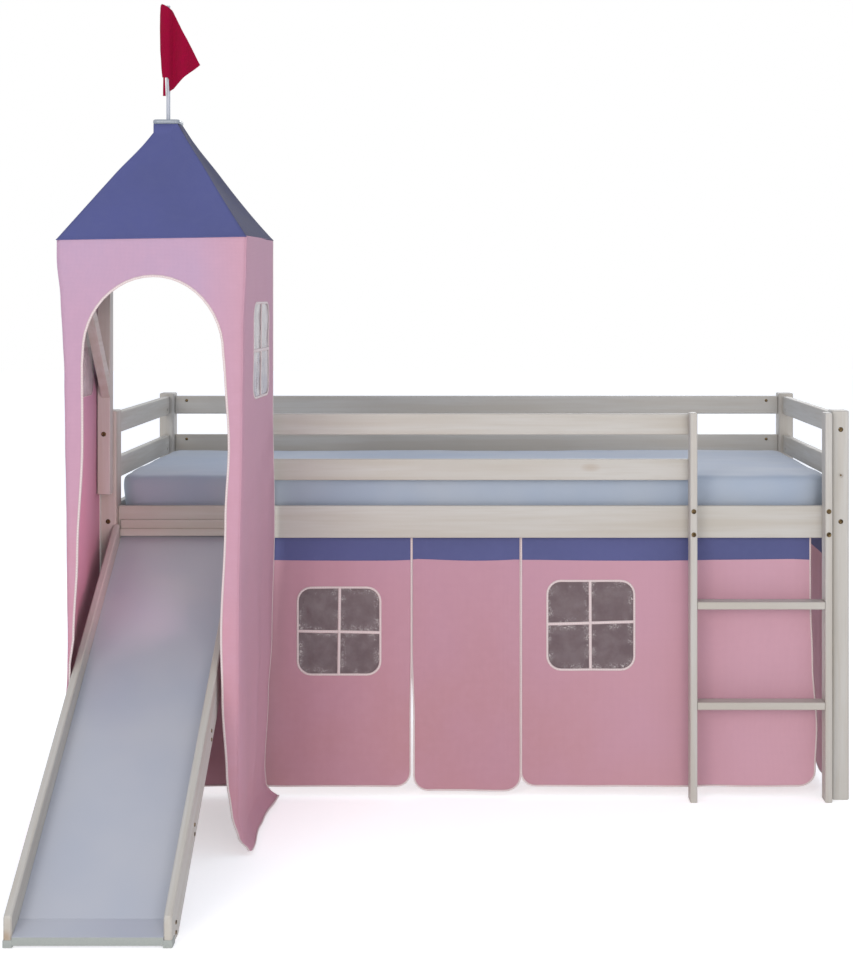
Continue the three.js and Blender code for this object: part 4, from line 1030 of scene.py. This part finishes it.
def mattress():
    """A foam mattress in a fitted jersey sheet, with a few soft drags in the cloth"""
    low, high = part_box("mattress")
    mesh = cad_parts["mattress"].data.copy()
    mesh.name = "mattress_sheet"
    mesh.materials.clear()
    made = piece("mattress_sheet", mesh, "jersey", "mattress")
    even = made.modifiers.new("even", "REMESH")
    even.mode = "VOXEL"
    even.voxel_size = VOXEL
    made.data = bpy.data.meshes.new_from_object(made.evaluated_get(bpy.context.evaluated_depsgraph_get()))
    made.modifiers.clear()
    made.data.vertices.foreach_set("co", swollen(made).astype(np.float32).ravel())
    top = high.z
    middle_y, half_y = (low.y + high.y) / 2, (high.y - low.y) / 2
    for v in made.data.vertices:
        x, y, z = v.co
        off_end, off_side = high.x - abs(x), half_y - abs(y - middle_y)
        upper = smooth(z, low.z + EDGE_DEPTH, top - EDGE_DEPTH)
        drag = DRAG * ripple(x * 0.9 + y * 1.3, y * 2.6 - x * 0.5, 0.42, 5.0)
        drag += ripples(CREASES, x, y)
        v.co.z = min(top + RISE_LIMIT, z + drag * upper)
        to_end, to_side = smooth(off_end, EDGE_REACH, END_FULL), smooth(off_side, EDGE_REACH, SIDE_FULL)
        lift = END_LIFT * upper * max(to_end, SIDE_LIFT_SHARE * to_side)
        v.co.z = min(top + RISE_LIMIT, v.co.z + lift)
        v.co.x += math.copysign(END_LIFT, x) * to_end * upper
        v.co.y += smooth(off_side, SIDE_REACH, 0) * ripples(SIDE_RIPPLES, x, z)
    shade_smooth(made.data)
    fine = made.modifiers.new("fine", "SUBSURF")
    fine.levels = fine.render_levels = 1
    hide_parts("mattress")


# Metal fittings. A profile's rows are a ring's radius and height over the wood in millimetres, and 6 where
# the ring is a six-sided socket's.

FITTING_SIDES = 24
FITTING_WELD = 0.02 * MM
BOLT_PROFILE = [(0, 1.1, 6), (2.8, 1.1, 6), (2.9, 2.6, 6), (5.3, 2.4), (6.7, 1.0), (6.7, -1)]
NUT_PROFILE = [(0, -0.9), (1.0, -0.9), (4.3, -0.7), (4.8, -1.2), (4.8, -8)]
SCREW_PROFILE = [(0, 0.8), (0.9, 0.8, 6), (1.3, 2.2, 6), (3.6, 2.0), (4.8, 0.9), (4.8, -1)]
PIN_PROFILE = [(0, 0.5), (0.6, 0.5, 6), (0.8, 1.0, 6), (2.0, 0.9), (2.6, 0.3), (2.6, -1)]


def turned(profile, place, out):
    """A fitting turned about the way that it faces"""
    turn = Vector((0, 0, 1)).rotation_difference(out)
    points = []
    for radius, height, *socket in profile:
        for k in range(FITTING_SIDES):
            angle = 2 * math.pi * k / FITTING_SIDES
            flat = (angle + math.pi / 6) % (math.pi / 3) - math.pi / 6
            r = radius / math.cos(flat) * math.cos(math.pi / 6) if socket else radius
            p = Vector((r * math.cos(angle), r * math.sin(angle), height)) * MM
            points.append(Vector(place) + turn @ p)
    return points, [face[::-1] for face in skin(len(profile), FITTING_SIDES)]


def fittings(name, profile, places):
    """All fittings of one kind, as one piece"""
    points, faces, _ = joined(turned(profile, place, Vector(out)) for place, out in places)
    piece(name, new_mesh(name, points, faces, weld=FITTING_WELD), "zinc", "bed")


END_BOLTS = [1029.5 * MM, 902.5 * MM, 773.6 * MM]  # of the rails across the ends, from the top down
LONG_BOLTS = [1056.7 * MM, 929.7 * MM, 797 * MM]  # of the rails along the bed
BOLT_SINK = 2.5 * MM
BARREL_INSET = 38 * MM
LADDER_BOLTS = [805 * MM, 741 * MM]
UPRIGHT_BOLTS = [1020 * MM]
SCREW_PLACES = (-0.596, -0.855, -1.11, -0.335, -0.077)  # of the slide's battens, out from the posts
SCREW_SPACING = 22 * MM
SCREW_DROP = 84 * MM
FOOT_LINE = 112 * MM  # the rail's top over the lowest pair, which stays clear of the shoe
SLIDE_SLOPE = 0.6026  # how far the slide falls in each metre that it runs out


def add_fittings():
    """The bolts in the posts, ladder and tower, their barrel nuts, the posts' pins and the slide's screws"""
    bolts, nuts, screws, pins = [], [], [], []
    upper, middle, bed = END_BOLTS
    for end, sx in (("left", -1), ("right", 1)):
        for side, sy in (("front", -1), ("back", 1)):
            low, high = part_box(f"post_{end}_{side}")
            x, y = (low.x + high.x) / 2, (low.y + high.y) / 2
            face_x, face_y = (low, high)[sx > 0].x, (low, high)[sy > 0].y
            bolts += [((face_x - sx * BOLT_SINK, y, z), (sx, 0, 0)) for z in LONG_BOLTS]
            bolts += [((x, face_y - sy * BOLT_SINK, z), (0, sy, 0)) for z in (upper, bed)]
            pins.append(((x, face_y, middle), (0, sy, 0)))
        for level, z in zip(("upper", "middle", "bed"), END_BOLTS):
            low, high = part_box(f"end_rail_{end}_{level}")
            inner = (low, high)[sx < 0].x
            nuts += [((inner, y, z), (-sx, 0, 0)) for y in (low.y + BARREL_INSET, high.y - BARREL_INSET)]
    for rail, z, sy in (
        ("guard_back_upper", LONG_BOLTS[0], -1),
        ("guard_back_lower", LONG_BOLTS[1], -1),
        ("side_rail_back", LONG_BOLTS[2], -1),
        ("side_rail_front", LONG_BOLTS[2], 1),
    ):
        low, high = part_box(rail)
        inner = (low, high)[sy > 0].y
        nuts += [((x, inner, z), (0, sy, 0)) for x in (low.x + BARREL_INSET, high.x - BARREL_INSET)]
    for rails, heights in (("ladder_rail", LADDER_BOLTS), ("tower_upright", UPRIGHT_BOLTS)):
        for side in ("left", "right"):
            low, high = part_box(f"{rails}_{side}")
            bolts += [(((low.x + high.x) / 2, low.y, z), (0, -1, 0)) for z in heights]
    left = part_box("slide_rail_left")[0].x
    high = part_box("slide_rail_right")[1]
    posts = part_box("post_left_front")[0].y
    for out in SCREW_PLACES:
        line = max(FOOT_LINE, high.z + SLIDE_SLOPE * out)
        for step in (-0.5, 0.5):
            z = line - SCREW_DROP + step * SCREW_SPACING
            screws += [((high.x, posts + out, z), (1, 0, 0)), ((left, posts + out, z), (-1, 0, 0))]
    fittings("bolt_heads", BOLT_PROFILE, bolts)
    fittings("barrel_nuts", NUT_PROFILE, nuts)
    fittings("slide_screws", SCREW_PROFILE, screws)
    fittings("post_pins", PIN_PROFILE, pins)


# The slide's foot

PAD_TALL = 17 * MM
PAD_PROUD = 1.2 * MM
PAD_LONG = 34 * MM
PAD_LOW = 0.2 * MM
PAD_BEVEL = 1.1 * MM
BAND_THICK = 0.8 * MM
BAND_TALL = 18 * MM
BAND_INSET = 0.3 * MM
BAND_LAP = 0.1 * MM
BAND_BEVEL = 0.4 * MM


def block(low, high, bevel):
    """A box with softened edges"""
    bm = bmesh.new()
    bmesh.ops.create_cube(bm, size=1)
    size = Vector(high) - Vector(low)
    for v in bm.verts:
        v.co = Vector(low) + Vector((size[i] * (v.co[i] + 0.5) for i in range(3)))
    bmesh.ops.bevel(bm, geom=bm.edges[:], offset=bevel, segments=3, profile=0.5, affect="EDGES")
    mesh = bpy.data.meshes.new("block")
    bm.to_mesh(mesh)
    bm.free()
    return mesh


def slide_foot():
    """Plastic shoes on the slide rails' feet, and the band on the foot board's front edge"""
    for side in ("left", "right"):
        low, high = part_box(f"slide_rail_{side}")
        start = (low.x - PAD_PROUD, low.y - PAD_PROUD, PAD_LOW)
        end = (high.x + PAD_PROUD, low.y + PAD_LONG, PAD_TALL)
        piece(f"slide_shoe_{side}", block(start, end, PAD_BEVEL), "edge_band", "bed")
    low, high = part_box("slide_foot_board")
    start = (low.x + BAND_INSET, low.y - BAND_THICK, low.z + BAND_INSET)
    end = (high.x - BAND_INSET, low.y + BAND_LAP, low.z + BAND_TALL)
    piece("slide_foot_band", block(start, end, BAND_BEVEL), "edge_band", "bed")


# Room

AMBIENT = 0.68
FLOOR_GLOW = 0.5
FLOOR_BOUNCE = 0.2  # what the wide bright floor of a studio sends up
FLOOR_HALF = 30
FLOOR_DROP = 0.5 * MM
TARGET = Vector((-0.1, 0.0, 0.9))


def make_room():
    """A pale floor and a white surround"""
    world = bpy.data.worlds.new("surround")
    world.use_nodes = True
    bpy.context.scene.world = world
    background = world.node_tree.nodes["Background"]
    ray = put("ShaderNodeLightPath", tree=background.id_data).outputs
    seen = maths("MAXIMUM", ray["Is Camera Ray"], ray["Is Glossy Ray"])
    seen = maths("MAXIMUM", seen, ray["Is Transmission Ray"])
    level = put("ShaderNodeMix", {0: seen, 2: AMBIENT, 3: 1.0})
    tint = blended(seen, "#E8EFFF", "#FFFFFF")
    feed(background, Strength=level.outputs[0], Color=tint)

    material, shader = new_finish("pale_floor", Roughness=0.9, Specular_IOR_Level=0.1)
    shader.inputs["Base Color"].default_value = linear("#F2F2F2")
    shader.inputs["Emission Color"].default_value = linear("#FFFFFF")
    seen = put("ShaderNodeLightPath", tree=shader.id_data).outputs["Is Camera Ray"]
    level = put("ShaderNodeMix", {0: seen, 2: FLOOR_BOUNCE, 3: FLOOR_GLOW})
    feed(shader, Emission_Strength=level.outputs[0])
    corners = [(x, y, 0) for x, y in ((-1, -1), (1, -1), (1, 1), (-1, 1))]
    mesh = new_mesh("floor", [Vector(c) * FLOOR_HALF for c in corners], [(0, 1, 2, 3)])
    mesh.materials.append(material)
    floor = show("floor", mesh)
    floor.location.z = -FLOOR_DROP


def lamp(name, place, size, level, colour, target=TARGET, tall=None, cone=180):
    """A soft lamp that lights a face square to it at the target to a level, inside a cone in degrees"""
    data = bpy.data.lights.new(name, "AREA")
    data.size = size
    data.spread = math.radians(cone)
    if tall:
        data.shape = "RECTANGLE"
        data.size_y = tall
    away = Vector(place) - target
    data.energy = level * math.pi**2 * away.length_squared
    data.color = linear(colour)[:3]
    made = show(name, data)
    made.location = place
    made.rotation_mode = "QUATERNION"
    made.rotation_quaternion = away.to_track_quat("Z", "Y")
    made.visible_camera = False


def make_finishes():
    """The finishes of the made pieces, each with its slot"""
    violet = ("#60638B", "#595E91", "#53587F", "#656A92")
    # The tower's lighter low tone is painted light, and so is its tone along the bed on the right strip and
    # wall. The curtains' lighter tone towards their right end is painted light too.
    tower_rose = ("#D59098", "#BB9DB5", "#C09AAE", "#CEA4B8", (-0.69, -0.58, "#C79AA8"))
    rose = ("#BB8C93", "#C79CB0", "#BF93A6", "#C89CA8", (0.1, 0.9, "#D2A5B2"))
    crimson = ("#90002E", "#90002E", "#84002A", "#A00040")
    # The roof's right face gets painted shade
    roof_violet = woven_cotton("violet_cotton_of_the_roof", *violet, right_face_shade="#4B4C64")
    # Each film's last colour is its painted glints
    tower_film = clear_film("vinyl_film_of_the_tower", 0.8, "#B4ABB0", "#C2BABD", "#D6D2D0")
    finishes.update({
        "tower_rose": (woven_cotton("rose_cotton_of_the_tower", *tower_rose), "rose_cotton"),
        "rose": (woven_cotton("rose_cotton_of_the_curtains", *rose), "rose_cotton"),
        "violet": (woven_cotton("violet_cotton_weave", *violet), "violet_cotton"),
        "roof_violet": (roof_violet, "violet_cotton"),
        "crimson": (woven_cotton("crimson_cotton_weave", *crimson), "crimson_cloth"),
        "binding": (bound_cotton("bias_tape", "#D6C4C2", "#E8DEDC"), "rose_cotton"),
        # The curtains' film is dark and nearly opaque: painted shade of the den behind it
        "film": (clear_film("vinyl_film", 0.93, "#635053", "#706062", "#E4DDD8"), "clear_film"),
        "tower_film": (tower_film, "clear_film"),
        # The cap's grey is painted shade on its lacquer
        "cap_lacquer": (sprayed_lacquer("lacquer_greyed_with_painted_shade", "#8F979F", "#9CA3AA"), "painted_wood"),
        "edge_band": (moulded_plastic("grey_plastic", "#969C98", "#A2A6A0"), "slide_lacquer"),
        "jersey": (cotton_jersey("cotton_jersey_sheet", "#A4B0C0", "#ADB6C1"), "fitted_sheet"),
        "zinc": (plated_steel("yellow_zinc_plate", "#7A6749", "#453A2C"), "painted_wood"),
    })


def finish_solids():
    """The finishes of the solids that show as they are, by the start of their names"""
    slope = math.atan(SLIDE_SLOPE)
    along_x = glazed_pine("glazed_pine_along_the_bed", ALONG_X)
    along_y = glazed_pine("glazed_pine_across_the_bed", ALONG_Y)
    along_z = glazed_pine("glazed_pine_upright", ALONG_Z)
    lacquer = sprayed_lacquer("sprayed_white_lacquer", "#A9AFBC", "#B8BAC0")
    for material, *starts in (
        (along_z, "post_", "tower_upright", "slide_entry_board", "ladder_rail", "tower_hub"),
        (along_x, "side_rail", "guard_", "ladder_rung", "slide_header", "tower_front_bar"),
        (along_y, "end_rail", "tower_arm", "tower_brace"),
        (glazed_pine("glazed_pine_down_the_slide", ALONG_Y, slope), "slide_rail"),
        (planed_pine("planed_pine_along_the_bed", ALONG_X), "slat_ledge"),
        (planed_pine("planed_pine_across_the_bed", ALONG_Y), "slat_roll", "tower_rafter"),
        (lacquer, "slide_deck", "slide_foot_board", "flagpole"),
        (finishes["violet"][0], "curtain_tape"),
    ):
        for name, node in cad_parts.items():
            if name.startswith(tuple(starts)):
                node.material_slots[0].material = material


# The curtain windows' middles and sizes, and their bars as windowed has them
LEFT_WINDOW = (-0.380, 0.4612, 230 * MM, 242 * MM)
LEFT_BARS = (2 * MM, 0, -3 * MM, -4 * MM)
RIGHT_WINDOW = (0.3261, 0.4775, 242 * MM, 247 * MM)
RIGHT_BARS = (-2 * MM, 3 * MM, 1 * MM, 7 * MM)


def main():
    make_camera()
    make_room()
    lamp("key", (-2.6, -5.8, 2.8), 2.4, 0.232, "#FFF8F0")
    lamp("fill", (1.5, -6.0, 1.6), 2.2, 0.226, "#FFF6EC")
    lamp("back", (1.5, 5.2, 3.8), 2.4, 0.18, "#FFFFFF")
    # What the tower's thin cloth lets through, which its solid sheets here hold back
    wall = Vector((-1.03, -0.16, 0.92))
    lamp("through_the_cloth", (-0.72, -0.32, 0.92), 0.1, 0.32, "#FFB0CC", wall, tall=0.7, cone=100)
    bpy.context.scene.view_settings.view_transform = "Standard"

    make_finishes()
    finish_solids()
    curtain("left", 1.0, [LEFT_WINDOW], LEFT_BARS)
    curtain("middle", 2.0)
    curtain("right", 3.0, [RIGHT_WINDOW], RIGHT_BARS)
    curtain("end", 4.0)
    tower()
    roof()
    cap()
    flag()
    mattress()
    add_fittings()
    slide_foot()


main()
